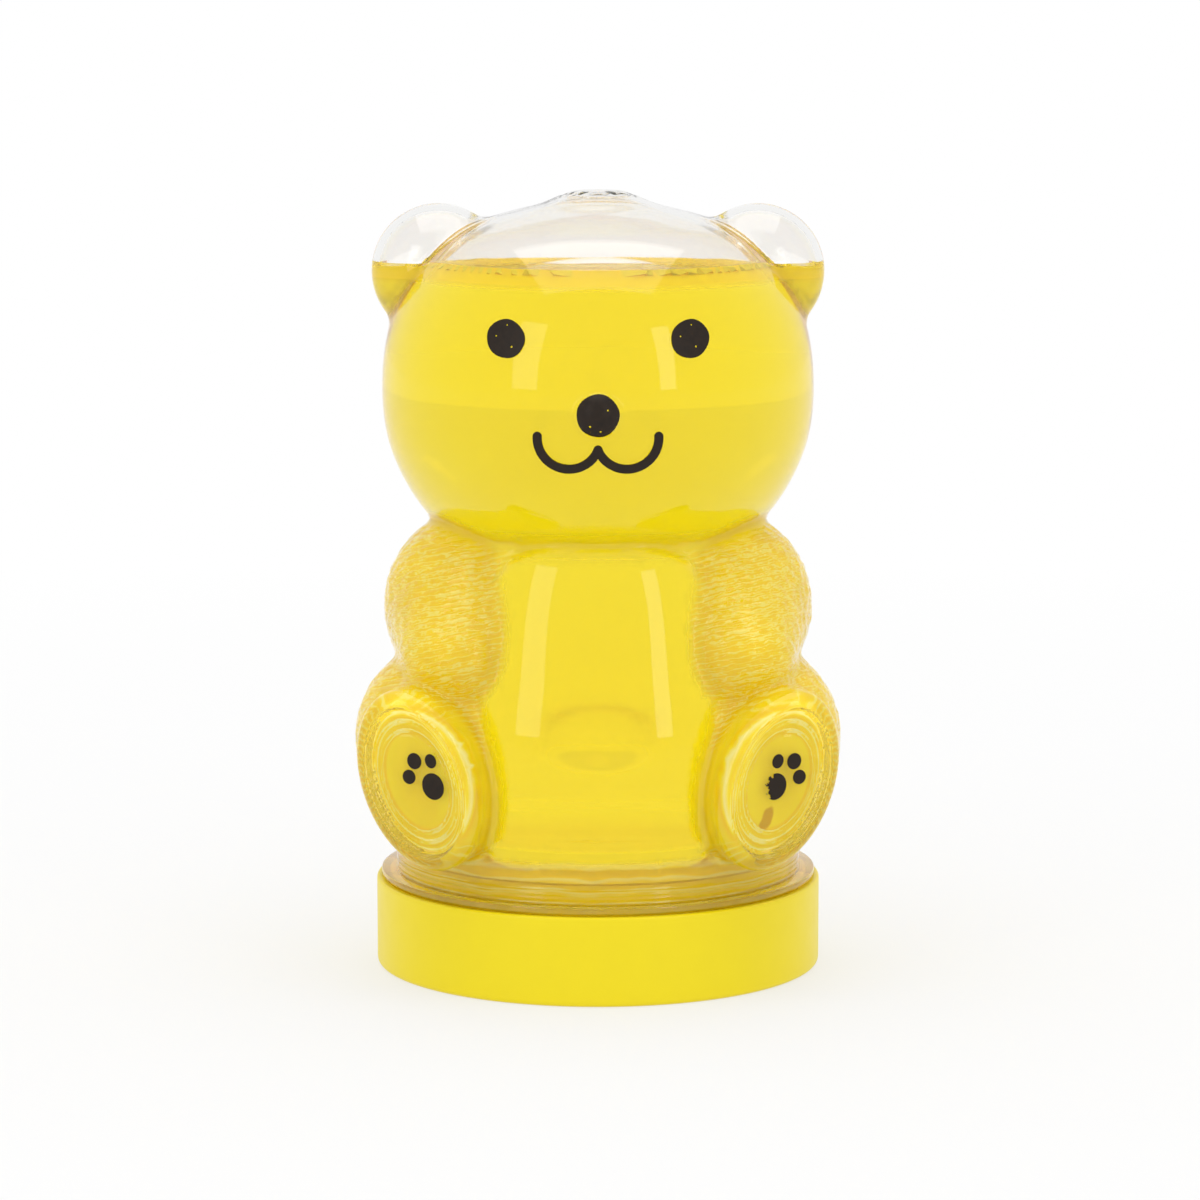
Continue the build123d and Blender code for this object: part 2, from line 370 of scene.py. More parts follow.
def oval_distance(way: Points, radii: Points) -> Values:
    """Distance outside an oval or a flattened ball about the origin, good near its surface."""
    near = np.linalg.norm(way / radii, axis=1)
    steep = np.linalg.norm(way / radii**2, axis=1)
    return near * (near - 1) / np.maximum(steep, 1e-6)


def polar_line(outline: Section, centre: float) -> SmoothLine:
    """Span of an outline from a centre on the upright axis, by the angle from straight up."""
    angles = [np.arctan2(x, z - centre) for x, z in outline]
    spans = [hypot(x, z - centre) for x, z in outline]
    return SmoothLine(angles, spans, level_ends=True)


@dataclass
class Head:
    """Round head, turned about the upright axis."""

    centre: float = 94.5
    half_width: float = 35.0
    half_height: float = 32.0
    section: Section = (
        (0, 126.5), (4.43, 126.31), (8.52, 124.68), (12.8, 123.49), (17.08, 122.33), (21.23, 120.76),
        (25.02, 118.46), (28.24, 115.4), (30.84, 111.81), (32.8, 107.83), (34.12, 103.59),
        (34.83, 99.21), (35.05, 94.78), (34.83, 90.34), (34.03, 85.98), (32.51, 81.81),
        (30.43, 77.89), (27.82, 74.3), (24.65, 71.2), (21.04, 68.62), (17.15, 66.48),
        (13.06, 64.75), (8.81, 63.49), (4.43, 62.74), (0, 62.5),
    )

    def __post_init__(self) -> None:
        """Fit the radius to the polar angle about the centre."""
        self.radius = polar_line(self.section, self.centre)

    def distance(self, at: Points, inset: float) -> Values:
        """Distance to the head, drawn in by inset."""
        across = np.hypot(at[:, 0], at[:, 1])
        along = at[:, 2] - self.centre
        angle = np.arctan2(across, along)
        span = self.radius(angle)
        tilt = span / np.hypot(span, self.radius.lean(angle))
        return (np.hypot(across, along) - span) * tilt + inset


@dataclass
class Torso:
    """Round torso that runs on into the neck below it."""

    bottom: float = 10.0
    top: float = 74.2
    section: Section = (
        (33.0, 10.0), (33.0, 15.0), (33.0, 19.0), (32.98, 21.6), (33.05, 23.0), (33.47, 24.6), (33.65, 26.9),
        (33.79, 31.33), (33.8, 33.68), (33.67, 38.37), (33.23, 43.04), (32.37, 47.65), (31.32, 52.23),
        (30.34, 56.82), (29.28, 61.39), (27.93, 65.88), (26.11, 70.21), (23.66, 74.2),
    )
    belly_proud: float = 0.5
    belly_centre: float = 46.0
    belly_outline: Section = (
        (0, 71.35), (8.45, 71.2), (14.2, 68.2), (18.42, 61.6), (21.3, 51.7), (22.3, 41.2),
        (20.3, 29.2), (14.2, 21.1), (0, 20.5),
    )

    def __post_init__(self) -> None:
        """Fit the outline and the belly's edge."""
        self.radius = SmoothLine([z for _, z in self.section], [r for r, _ in self.section])
        self.belly = polar_line(self.belly_outline, self.belly_centre)

    def belly_edge(self, at: Points) -> Values:
        """Distance inside the belly's outline, seen from the front."""
        up = at[:, 2] - self.belly_centre
        return self.belly(np.arctan2(np.abs(at[:, 0]), up)) - np.hypot(at[:, 0], up)

    def distance(self, at: Points, inset: float) -> Values:
        """Distance to the torso, drawn in by inset."""
        height = np.clip(at[:, 2], self.bottom, self.top)
        tilt = 1 / np.hypot(1, self.radius.lean(height))
        side = (np.hypot(at[:, 0], at[:, 1]) - self.radius(height)) * tilt
        return np.maximum(side, at[:, 2] - self.top) + inset


@dataclass
class Ear:
    """One ear, a flattened ball."""

    side: int
    spread: float = 25.76
    height: float = 113.5
    radii: Place = (10.9, 8.2, 10.9)

    def centre(self) -> Points:
        """Middle of the ear."""
        return np.array((self.side * self.spread, 0, self.height))

    def distance(self, at: Points, inset: float) -> Values:
        """Distance to the ear, drawn in by inset."""
        return oval_distance(at - self.centre(), np.array(self.radii) - inset)


@dataclass
class Arm:
    """One arm: a ball at the shoulder and one at the hand in their common cone."""

    side: int
    shoulder: Place = (18.6, -7.27, 60.0)
    hand: Place = (22.7, -20.96, 53.8)
    shoulder_radius: float = 16.0
    hand_radius: float = 8.6

    def ends(self) -> tuple[Points, Points]:
        """Centres of the two balls."""
        flip = np.array((self.side, 1, 1))
        return np.array(self.shoulder) * flip, np.array(self.hand) * flip

    def distance(self, at: Points, inset: float) -> Values:
        """Distance to the arm, drawn in by inset."""
        start, end = self.ends()
        span = end - start
        length2 = span @ span
        fall = self.shoulder_radius - self.hand_radius
        keep = length2 - fall * fall
        way = at - start
        along = way @ span
        past = along - length2
        cross = way * length2 - along[:, None] * span
        x2 = (cross * cross).sum(axis=1)
        limit = fall * fall * x2
        at_hand = np.sqrt(x2 + past * past * length2) / length2 - self.hand_radius
        at_shoulder = np.sqrt(x2 + along * along * length2) / length2 - self.shoulder_radius
        between = (np.sqrt(x2 * keep / length2) + along * fall) / length2 - self.shoulder_radius
        reach = np.where(np.sign(along) * keep * along**2 * length2 < limit, at_shoulder, between)
        reach = np.where(np.sign(past) * keep * past**2 * length2 > limit, at_hand, reach)
        return reach + inset


@dataclass
class Ball:
    """A plain ball, such as a thigh or the tail."""

    centre: Place
    radius: float

    def distance(self, at: Points, inset: float) -> Values:
        """Distance to the ball, drawn in by inset."""
        return np.linalg.norm(at - self.centre, axis=1) - self.radius + inset


@dataclass
class Leg:
    """One leg stub: an oval rod with a round-edged, dished and ridged sole."""

    side: int
    centre: Place = (28.8, -33.8, 35.5)
    half_width: float = 9.6
    half_height: float = 14.8
    length: float = 32.0
    splay: float = 18
    lean: float = 20
    edge_round: float = 2.4
    rim: float = 2.9
    dish: float = 0.6
    ridge_height: float = 0.16

    def __post_init__(self) -> None:
        """Work out the sole's own axes."""
        turn, tip = radians(self.splay), radians(self.lean)
        self.origin = np.array(self.centre) * (self.side, 1, 1)
        self.forward = np.array((self.side * sin(turn), -cos(turn), 0.0))
        level = np.array((cos(turn), self.side * sin(turn), 0.0))
        self.across = level * cos(tip) - np.array((0, 0, self.side * sin(tip)))
        self.up = np.cross(self.forward, self.across)

    def frame(self) -> Matrix:
        """Place of the sole: X across, Y up it, Z out of it."""
        turn = Matrix((self.across, self.up, self.forward)).transposed().to_4x4()
        return Matrix.Translation(Vector(self.origin)) @ turn

    def local(self, at: Points) -> Points:
        """Places in the sole's own axes."""
        return (at - self.origin) @ np.stack((self.across, self.up, self.forward), axis=1)

    def oval(self, flat: Points, inset: float) -> Values:
        """Distance outside the sole's oval, drawn in by inset."""
        return oval_distance(flat[:, :2], np.array((self.half_width, self.half_height)) - inset)

    def spread(self, flat: Points) -> Values:
        """Share of the way from the sole's middle out to its edge."""
        return np.hypot(flat[:, 0] / self.half_width, flat[:, 1] / self.half_height)

    def relief(self, flat: Points) -> Values:
        """How far the sole's face lies behind its plane."""
        edge = -self.oval(flat, 0)
        ridges = np.interp(self.spread(flat), *zip(*RIDGES)) - 0.5
        return self.dish * rise(edge, self.rim - 0.6, self.rim + 0.6) - self.ridge_height * ridges

    def distance(self, at: Points, inset: float, carved: bool = False) -> Values:
        """Distance to the leg, drawn in by inset, with the sole's relief where asked."""
        flat = self.local(at)
        back = self.relief(flat) if carved else (self.dish if inset else 0)
        side = self.oval(flat, inset)
        face = flat[:, 2] + back + inset
        outer = np.hypot(np.maximum(side + self.edge_round, 0), np.maximum(face + self.edge_round, 0))
        inner = np.minimum(np.maximum(side + self.edge_round, face + self.edge_round), 0)
        return np.maximum(outer + inner - self.edge_round, -flat[:, 2] - self.length)


@dataclass
class Ripples:
    """Soft seeded relief from plane waves, finer one way than the other."""

    seed: int
    along: float
    across: float
    way: Place
    waves: int = 14

    def __post_init__(self) -> None:
        """Draw the waves."""
        draw = np.random.default_rng(self.seed)
        way = np.array(self.way) / np.linalg.norm(self.way)
        raw = draw.normal(size=(self.waves, 3))
        raw -= np.outer(raw @ way, way)
        raw /= np.linalg.norm(raw, axis=1)[:, None]
        run = draw.uniform(0.6, 1.3, (self.waves, 1)) * 2 * pi
        self.pull = raw * run / self.across + np.outer(draw.normal(size=self.waves), way) * 2 * pi / self.along
        self.phase = draw.uniform(0, 2 * pi, self.waves)

    def __call__(self, at: Points) -> Values:
        """Height of the relief, about -1 to 1."""
        return np.sin(at @ self.pull.T + self.phase).sum(axis=1) / np.sqrt(self.waves)


@dataclass
class BearShape:
    """The whole bear as one soft union of its forms, for the outer face and the inner one."""

    wall: float = 1.1
    limb_wall: float = 2.3
    stub_wall: float = 1.7
    crease: float = 1.5
    lip: float = 2.9
    neck_bore: float = 31.2
    neck_top: float = 22.6
    nose_height: float = 93.4
    nose_radius: float = 4.36
    nose_back: float = 32.6
    crown_radius: float = 5.6
    crown_width: float = 0.9
    crown_depth: float = 0.12
    fur_depth: float = 0.07
    head: Head = field(default_factory=Head)
    torso: Torso = field(default_factory=Torso)

    def __post_init__(self) -> None:
        """Make the paired forms and the fur's ripples."""
        self.ears = [Ear(side) for side in (-1, 1)]
        self.arms = [Arm(side) for side in (-1, 1)]
        self.legs = [Leg(side) for side in (-1, 1)]
        self.thighs = [Ball((side * 23.6, -13.0, 39.5), 15.5) for side in (-1, 1)]
        self.tail = Ball((0, 31.43, 32.2), 4.0)
        self.fur = Ripples(7, 7.0, 2.2, (1.0, -0.4, 0.25))

    def trunk(self, at: Points, inset: float, crease: float) -> Values:
        """Head, ears and torso."""
        body = blend(self.head.distance(at, inset), self.torso.distance(at, inset), crease)
        for ear in self.ears:
            body = blend(body, ear.distance(at, inset), crease)
        return body

    def limbs(self, at: Points) -> Values:
        """Distance to the arms and thighs."""
        reach = [form.distance(at, 0) for form in (*self.arms, *self.thighs)]
        return np.min(reach, axis=0)

    def furriness(self, at: Points) -> Values:
        """1 where the plastic carries fur: all of the body but the belly, the soles and the neck."""
        below_head = rise(self.head.distance(at, 0), 0.6, 2.4)
        limb = 1 - rise(self.limbs(at), 0.3, 1.5)
        belly = rise(self.torso.belly_edge(at), -1.2, -0.2) * rise(-at[:, 1], 4, 8) * (1 - limb)
        sole = np.min(
            [np.maximum(rise(-leg.local(at)[:, 2], 1.6, 4.5), rise(leg.oval(leg.local(at), 0), 0.8, 2.5))
             for leg in self.legs],
            axis=0,
        )
        back = rise(at[:, 1], -8, -2) * (1 - limb)
        below_ears = 1 - rise(at[:, 2], 78, 82)
        return below_head * below_ears * (1 - belly) * (1 - back) * sole * rise(at[:, 2], 20.5, 22.5)

    def outer(self, at: Points) -> Values:
        """Distance to the outer face, with all its relief."""
        soft = self.crease
        body = self.trunk(at, 0, soft)
        edge = self.torso.belly_edge(at)
        step = rise(edge, -0.6, 0.6) - 0.7 * np.exp(-((edge + 1.0) / 0.7) ** 2)
        proud = self.torso.belly_proud * step * rise(-at[:, 1], 4, 9)
        below = 1 - rise(at[:, 2], 70, 73)
        body = body - proud * below * rise(at[:, 2], 21, 24)
        for form in (*self.arms, *self.thighs):
            body = blend(body, form.distance(at, 0), soft)
        for leg in self.legs:
            body = blend(body, leg.distance(at, 0, carved=True), soft)
        body = blend(body, self.tail.distance(at, 0), soft)
        nose = np.linalg.norm(at - (0, -self.nose_back, self.nose_height), axis=1) - self.nose_radius
        body = blend(body, nose, 0.6)
        ring = np.abs(np.hypot(at[:, 0], at[:, 1]) - self.crown_radius) / self.crown_width
        groove = self.crown_depth * (1 - rise(ring, 0.3, 1.0)) * rise(at[:, 2], 118, 120)
        return body + groove + self.fur_depth * self.fur(at) * self.furriness(at)

    def inner(self, at: Points) -> Values:
        """Distance to the inner face, thicker in the arms and legs."""
        soft = 2 * self.crease
        body = self.trunk(at, self.wall, soft)
        bore = np.hypot(at[:, 0], at[:, 1]) - self.neck_bore
        body = blend(body, np.maximum(bore, at[:, 2] - self.neck_top), 0.8)
        for form in (*self.arms, *self.thighs):
            body = blend(body, form.distance(at, self.limb_wall), soft)
        for leg in self.legs:
            body = blend(body, leg.distance(at, self.stub_wall), soft)
        return blend(body, self.tail.distance(at, self.wall), soft)

    def rough(self, name: str, inset: float, limb_inset: float, voxel: float) -> Item:
        """Rough body: its primitives joined and made one skin, ready to be settled on the true surface.

        Args:
            name: Name of the new object.
            inset: How far the trunk is drawn in.
            limb_inset: How far the arms and legs are drawn in.
            voxel: Size of the skin's faces.

        Returns:
            One closed skin.
        """
        ball, torso = self.head, self.torso
        wide, tall = 1 - inset / ball.half_width, 1 - inset / ball.half_height
        head_line = [(r * wide, ball.centre + (z - ball.centre) * tall) for r, z in ball.section]
        torso_line = [(0, torso.bottom), *((r - inset, z) for r, z in torso.section), (0, torso.top)]
        parts = [Bench.lathe(name, head_line, 72), Bench.lathe("torso", torso_line, 72)]
        balls = [("ear", ear.centre(), np.array(ear.radii) - inset) for ear in self.ears]
        for arm in self.arms:
            sizes = (arm.shoulder_radius, arm.hand_radius)
            balls += [("arm", centre, [size - limb_inset] * 3) for centre, size in zip(arm.ends(), sizes)]
        balls += [("thigh", thigh.centre, [thigh.radius - limb_inset] * 3) for thigh in self.thighs]
        balls.append(("tail", self.tail.centre, [self.tail.radius - inset] * 3))
        for label, centre, radii in balls:
            place = Matrix.Translation(Vector(centre)) @ Matrix.Diagonal((*radii, 1))
            parts.append(Bench.start(Primitive.BALL, label, place, segments=48, ring_count=32))
        for leg in self.legs:
            half = leg.length / 2
            size = Matrix.Diagonal((leg.half_width - limb_inset, leg.half_height - limb_inset, half, 1))
            place = leg.frame() @ Matrix.Translation((0, 0, -half - limb_inset)) @ size
            parts.append(Bench.start(Primitive.DRUM, "stub", place, vertices=64, radius=1, depth=2))
        body = Bench.join(parts)
        Bench.modify(body, "REMESH", mode="VOXEL", voxel_size=voxel * MM, use_smooth_shade=True)
        Bench.modify(body, "SMOOTH", factor=0.5, iterations=6)
        return body


@dataclass
class Thread:
    """A helical rib on the neck or in the cap, laid over a finely ringed wall."""

    root: float
    depth: float
    start: float
    turns: float
    half_width: float
    outward: int
    lead: float = 4.233
    flank: float = 25

    def lay(self, item: Item) -> None:
        """Raise the rib from the wall's vertices."""
        at = Bench.read(item)
        radius = np.hypot(at[:, 0], at[:, 1])
        angle = np.mod(np.arctan2(at[:, 1], at[:, 0]), 2 * pi) / (2 * pi)
        height = np.zeros(len(at))
        for lap in range(int(self.turns) + 1):
            turn = angle + lap
            off = np.abs(at[:, 2] - self.start - self.lead * turn)
            rib = np.clip((self.half_width - off) / tan(radians(self.flank)), 0, self.depth)
            ends = rise(turn, 0, 0.03) * (1 - rise(turn, self.turns - 0.03, self.turns))
            height = np.maximum(height, rib * ends)
        on_wall = np.abs(radius - self.root) < 0.02
        scale = 1 + self.outward * np.where(on_wall, height, 0) / np.maximum(radius, 1)
        at[:, :2] *= scale[:, None]
        Bench.write(item, at)


class Wire:
    """A shader socket that takes Python's operators."""

    def __init__(self, board: "Board", socket: bpy.types.NodeSocket) -> None:
        """Wrap a socket of this board."""
        self.board = board
        self.socket = socket

    def __add__(self, other: "Wire | float") -> "Wire":
        """Sum, in either order."""
        return self.board.math("ADD", self, other)

    def __mul__(self, other: "Wire | float") -> "Wire":
        """Product, in either order."""
        return self.board.math("MULTIPLY", self, other)

    def __rsub__(self, other: float) -> "Wire":
        """A number less this."""
        return self.board.math("SUBTRACT", other, self)

    __radd__ = __add__
    __rmul__ = __mul__


class Board:
    """The node tree of one material or of the world."""

    def __init__(self, owner: bpy.types.ID) -> None:
        """Start from an empty tree."""
        owner.use_nodes = True
        self.tree = owner.node_tree
        self.tree.nodes.clear()

    def add(self, kind: str, links: dict[int | str, object] | None = None, out: int | str = 0,
            stops: Sequence[tuple[float, float]] = (), **settings) -> Wire:
        """Add one node.

        Args:
            kind: The node's type without its prefix.
            links: A value or a wire for each input, by name or number.
            out: Which output to hand back.
            stops: Places and grey levels of a ramp.
            settings: The node's own settings, set before its inputs.

        Returns:
            The chosen output as a wire.
        """
        node = self.tree.nodes.new(f"ShaderNode{kind}")
        for name, value in settings.items():
            setattr(node, name, value)
        if stops:
            ramp = node.color_ramp.elements
            while len(ramp) < len(stops):
                ramp.new(0.5)
            for element, (place, level) in zip(ramp, stops):
                element.position = place
                element.color = (level, level, level, 1)
        for key, value in (links or {}).items():
            if isinstance(value, Wire):
                self.tree.links.new(value.socket, node.inputs[key])
            else:
                node.inputs[key].default_value = value
        return Wire(self, node.outputs[out]) if len(node.outputs) else None

    def math(self, operation: str, first: Wire | float, second: Wire | float) -> Wire:
        """Add one Math node."""
        return self.add("Math", {0: first, 1: second}, operation=operation)

    def vector(self, operation: str, first: Wire, second: Place = (0, 0, 0), out: str = "Value") -> Wire:
        """Add one Vector Math node."""
        return self.add("VectorMath", {0: first, 1: second}, out=out, operation=operation)

    def mark(self, name: str) -> Wire:
        """A number that the mesh carries in an attribute."""
        return self.add("Attribute", out="Fac", attribute_name=name)

    def mix(self, share: Wire | float, first: object, second: object) -> Wire:
        """Mix two colours."""
        return self.add("MixRGB", {0: share, 1: first, 2: second})

    def span(self, value: Wire, low: float, high: float) -> Wire:
        """Bring a value to 0 at low and to 1 at high."""
        return self.add("MapRange", {"Value": value, "From Min": low, "From Max": high})

    def bump(self, height: Wire, strength: float, distance: float, **under: Wire) -> Wire:
        """Turn a height into a normal, over the one given as Normal if there is one."""
        return self.add("Bump", {"Height": height, "Strength": strength, "Distance": distance, **under})

    def place(self, scale: Place = (1, 1, 1), turn: Place = (0, 0, 0)) -> Wire:
        """Object coordinates in millimetres, stretched and turned."""
        where = self.add("TexCoord", out="Object")
        size = tuple(1000 * value for value in scale)
        return self.add("Mapping", {"Vector": where, "Scale": size, "Rotation": turn})

    def height(self) -> Wire:
        """Height in millimetres."""
        return self.vector("DOT_PRODUCT", self.place(), (0, 0, 1))

    def noise(self, scale: float, detail: float, stretch: Place = (1, 1, 1), twist: float = 0) -> Wire:
        """Noise, its scale per millimetre."""
        links = {"Vector": self.place(stretch), "Scale": scale, "Detail": detail, "Distortion": twist}
        return self.add("TexNoise", links)

    def clear(self, ior: float) -> Wire:
        """A smooth clear surface that bends light by its index."""
        links = {"Base Color": WHITE, "Roughness": 0.0, "IOR": ior, "Transmission Weight": 1.0}
        return self.add("BsdfPrincipled", links)

    def strokes(self) -> Wire:
        """The fur's fine wavy strokes, 0 to 1."""
        links = {"Vector": self.place(turn=(0.12, 0.2, 0)), "Scale": 0.36, "Distortion": 4.5, "Detail": 2.0,
                 "Detail Scale": 1.6}
        return self.add("TexWave", links, out="Fac", wave_type="BANDS", bands_direction="Z")

    def oval(self, sole: Matrix, width: float = Leg.half_width,
             height: float = Leg.half_height) -> tuple[Wire, Wire]:
        """Place on one sole.

        Args:
            sole: The sole's own axes, in millimetres.
            width: Half width of the oval whose edge is 1.
            height: Half height of that oval.

        Returns:
            The spread from the middle, 1 at the oval's edge, and 1 near the sole's face.
        """
        links = {"Vector": self.add("TexCoord", out="Object"), "Location": tuple(sole.translation * MM),
                 "Rotation": tuple(sole.to_euler()), "Scale": (width * MM, height * MM, MM)}
        local = self.add("Mapping", links, vector_type="TEXTURE")
        spread = self.vector("LENGTH", self.vector("MULTIPLY", local, (1, 1, 0), "Vector"))
        return spread, self.span(self.vector("DOT_PRODUCT", local, (0, 0, 1)), -6.0, -4.0)


class Finish:
    """A material. Each kind of finish draws itself on a board."""

    name: str

    def draw(self, board: Board) -> dict[str, Wire]:
        """Add the nodes, and return what goes into each input of the material's output."""
        raise NotImplementedError

    def make(self) -> Material:
        """Build the material."""
        material = bpy.data.materials.new(self.name)
        board = Board(material)
        board.add("OutputMaterial", self.draw(board))
        return material


@dataclass(frozen=True)
class ClearPlastic(Finish):
    """Clear blow-moulded plastic, with the fur's fine strokes and the ridges of the soles."""

    soles: tuple[Matrix, ...]
    name: str = "clear_plastic"
    ior: float = 1.5
    roughness: float = 0.03
    tint: Colour = (1.0, 0.998, 0.985, 1)
    fur_depth: float = 0.00009
    swell_depth: float = 0.0006
    swell_share: float = 0.05
    ridge_depth: float = 0.00007

    def draw(self, board: Board) -> dict[str, Wire]:
        """Clear plastic under its bumps."""
        strokes = board.strokes() * (0.35 + board.noise(0.55, 2.0, (1, 1, 1.6)))
        bumps = board.bump(strokes * board.mark("fur"), 1.0, self.fur_depth)
        bumps = board.bump(board.noise(0.12, 1.0), self.swell_share, self.swell_depth, Normal=bumps)
        for sole in self.soles:
            spread, face = board.oval(sole)
            ridges = board.add("ValToRGB", {0: spread}, stops=RIDGES)
            bumps = board.bump(ridges * face, 1.0, self.ridge_depth, Normal=bumps)
        links = {"Base Color": self.tint, "Roughness": self.roughness, "IOR": self.ior,
                 "Transmission Weight": 1.0, "Normal": bumps}
        return {"Surface": board.add("BsdfPrincipled", links)}


@dataclass(frozen=True)
class PlainBend(Finish):
    """A clear face that only bends light by its index, 1 where honey and plastic meet."""

    name: str
    ior: float

    def draw(self, board: Board) -> dict[str, Wire]:
        """One clear shader."""
        return {"Surface": board.clear(self.ior)}


@dataclass(frozen=True)
class Honey(Finish):
    """Bright yellow honey that soaks up blue. Its faces pass light straight on.

    The mesh says in its attributes how cloudy the honey looks (cloud), how much deeper amber is painted on
    as shade (amber_shade), where the fur's strokes are painted in it as shade lines and glints (fur) and where
    its raised edge may show (rim).
    """

    soles: tuple[Matrix, ...]
    rim: tuple[float, float] = (111.4, 112.7)
    name: str = "honey"
    colour: Colour = (0.985, 0.81, 0.02, 1)
    # Painted light: the brighter yellow of faces seen from inside, standing in for light scattered through the
    # honey.
    glow: Colour = (0.99, 0.88, 0.05, 1)
    # Painted shade: deeper amber laid where less light comes through the honey.
    shaded_amber: Colour = (0.97, 0.70, 0.01, 1)
    # Painted shade and painted highlight: dark lines and pale glints drawn in the honey for the fur, the sole
    # ridges and the neck rings.
    stroke_shade: Colour = (0.94, 0.60, 0.008, 1)
    pale_glint: Colour = (1.0, 0.93, 0.35, 1)
    brown: Colour = (0.62, 0.33, 0.01, 1)
    soak_colour: Colour = (0.998, 0.960, 0.0, 1)
    soak: float = 90.0
    stroke_shade_share: float = 0.6
    crest_glint_share: float = 0.5
    edge_share: float = 0.8
    inside_loss: float = 0.15
    smear_share: float = 0.85
    smear_place: Place = (0.3, -6.3, 0)
    smear_radii: tuple[float, float] = (1.0, 2.2)
    ring_span: tuple[float, float] = (15.0, 27.0)

    def lined(self, tone: Wire, lines: Wire, dark: Wire | float, light: Wire | float) -> Wire:
        """Paint the low parts of a ramp as dark shade lines and its high parts as pale highlight lines."""
        board = tone.board
        tone = board.mix(dark * board.span(lines, 0.5, 0.0), tone, self.stroke_shade)
        return board.mix(light * board.span(lines, 0.5, 1.0), tone, self.pale_glint)

    def tone(self, board: Board) -> Wire:
        """Colour of the cloudy part: yellow, painted deeper amber shade low in the neck and high at the level's
        edge, and painted shade lines and highlights for the strokes, the sole ridges and the neck rings.
        """
        # Painted shade: deeper amber low in the neck by the cap, a little in the limbs and ears, and along the
        # level's raised edge.
        amber_shade = board.math("MAXIMUM", board.mark("amber_shade"), self.edge(board))
        tone = board.mix(amber_shade, self.colour, self.shaded_amber)
        fur, bands = board.mark("fur"), board.strokes()
        # Painted shade and painted highlight: the fur's strokes as darker lines, and their crests as pale
        # glints.
        tone = board.mix(self.stroke_shade_share * fur * bands, tone, self.stroke_shade)
        tone = board.mix(self.crest_glint_share * fur * board.span(1 - bands, 0.72, 1.0), tone, self.pale_glint)
        # Painted shade and painted highlight: each sole's ridges drawn as dark and pale lines in the honey.
        for sole in self.soles:
            spread, face = board.oval(sole)
            ridges = board.add("ValToRGB", {0: spread}, stops=RIDGES)
            tone = self.lined(tone, ridges, 0.8 * face, 0.9 * face)
        spread, face = board.oval(self.soles[1] @ Matrix.Translation(self.smear_place), *self.smear_radii)
        smear = board.span(spread + 0.9 * board.noise(0.6, 2.0), 1.45, 1.15)
        tone = board.mix(self.smear_share * smear * face, tone, self.brown)
        # Painted shade and painted highlight: dark and pale bands for the neck's rings.
        height = board.height() + 2.4 * board.noise(0.13, 1.0)
        rings = board.add("ValToRGB", {0: board.span(height, *self.ring_span)}, stops=RINGS)
        return self.lined(tone, rings, 1.0, 0.8)

    def edge(self, board: Board) -> Wire:
        """1 on the honey's raised edge."""
        return board.span(board.height(), *self.rim) * board.mark("rim")

    def draw(self, board: Board) -> dict[str, Wire]:
        """A cloudy share of every face over clear honey, plainer where seen from inside and there painted a
        brighter, lit yellow.
        """
        inside = board.add("NewGeometry", out="Backfacing")
        # Painted light: faces seen from inside take the brighter glow yellow in place of the honey's tone.
        tone = board.mix(inside, self.tone(board), self.glow)
        cloudy = board.add("BsdfPrincipled", {"Base Color": tone, "Roughness": 0.6, "IOR": 1.0})
        cloud = board.mark("cloud") * (0.85 + 0.3 * board.noise(0.07, 2.0, twist=1.5))
        share = board.math("MAXIMUM", cloud, self.edge_share * self.edge(board))
        share = share * (1 - self.inside_loss * inside)
        surface = board.add("MixShader", {0: share, 1: board.clear(1.0), 2: cloudy})
        soak = board.add("VolumeAbsorption", {"Color": self.soak_colour, "Density": self.soak})
        return {"Surface": surface, "Volume": soak}


@dataclass(frozen=True)
class CapPlastic(Finish):
    """Bright yellow moulded plastic with a fine mould grain."""

    name: str = "yellow_plastic"
    colour: Colour = (0.84, 0.68, 0.001, 1)
    worn: Colour = (0.81, 0.65, 0.002, 1)
    roughness: float = 0.3

    def draw(self, board: Board) -> dict[str, Wire]:
        """Semi-gloss plastic, a little uneven."""
        cloud = board.noise(0.25, 3.0)
        links = {"Base Color": board.mix(cloud, self.colour, self.worn), "IOR": 1.49,
                 "Roughness": self.roughness + 0.12 * cloud, "Specular IOR Level": 0.35,
                 "Normal": board.bump(board.noise(4.0, 2.0), 0.12, 0.0001)}
        return {"Surface": board.add("BsdfPrincipled", links)}


@dataclass(frozen=True)
class Foam(Finish):
    """White foam of the liner."""

    name: str = "white_foam"
    colour: Colour = (0.88, 0.87, 0.84, 1)

    def draw(self, board: Board) -> dict[str, Wire]:
        """Matt foam with fine cells."""
        cells = board.add("TexVoronoi", {"Vector": board.place(), "Scale": 2.5})
        links = {"Base Color": self.colour, "Roughness": 0.75, "Normal": board.bump(cells, 0.3, 0.0002)}
        return {"Surface": board.add("BsdfPrincipled", links)}


@dataclass(frozen=True)
class Ink(Finish):
    """Dark brown printing ink, a little uneven."""

    name: str = "black_ink"
    colour: Colour = (0.010, 0.007, 0.005, 1)
    thin: Colour = (0.026, 0.015, 0.008, 1)

    def draw(self, board: Board) -> dict[str, Wire]:
        """Glossy ink with a cloudy tone."""
        cloud = board.noise(0.9, 4.0)
        links = {"Base Color": board.mix(cloud, self.colour, self.thin), "Roughness": 0.22 + 0.3 * cloud,
                 "Specular IOR Level": 0.2, "Normal": board.bump(cloud, 0.2, 0.0002)}
        return {"Surface": board.add("BsdfPrincipled", links)}


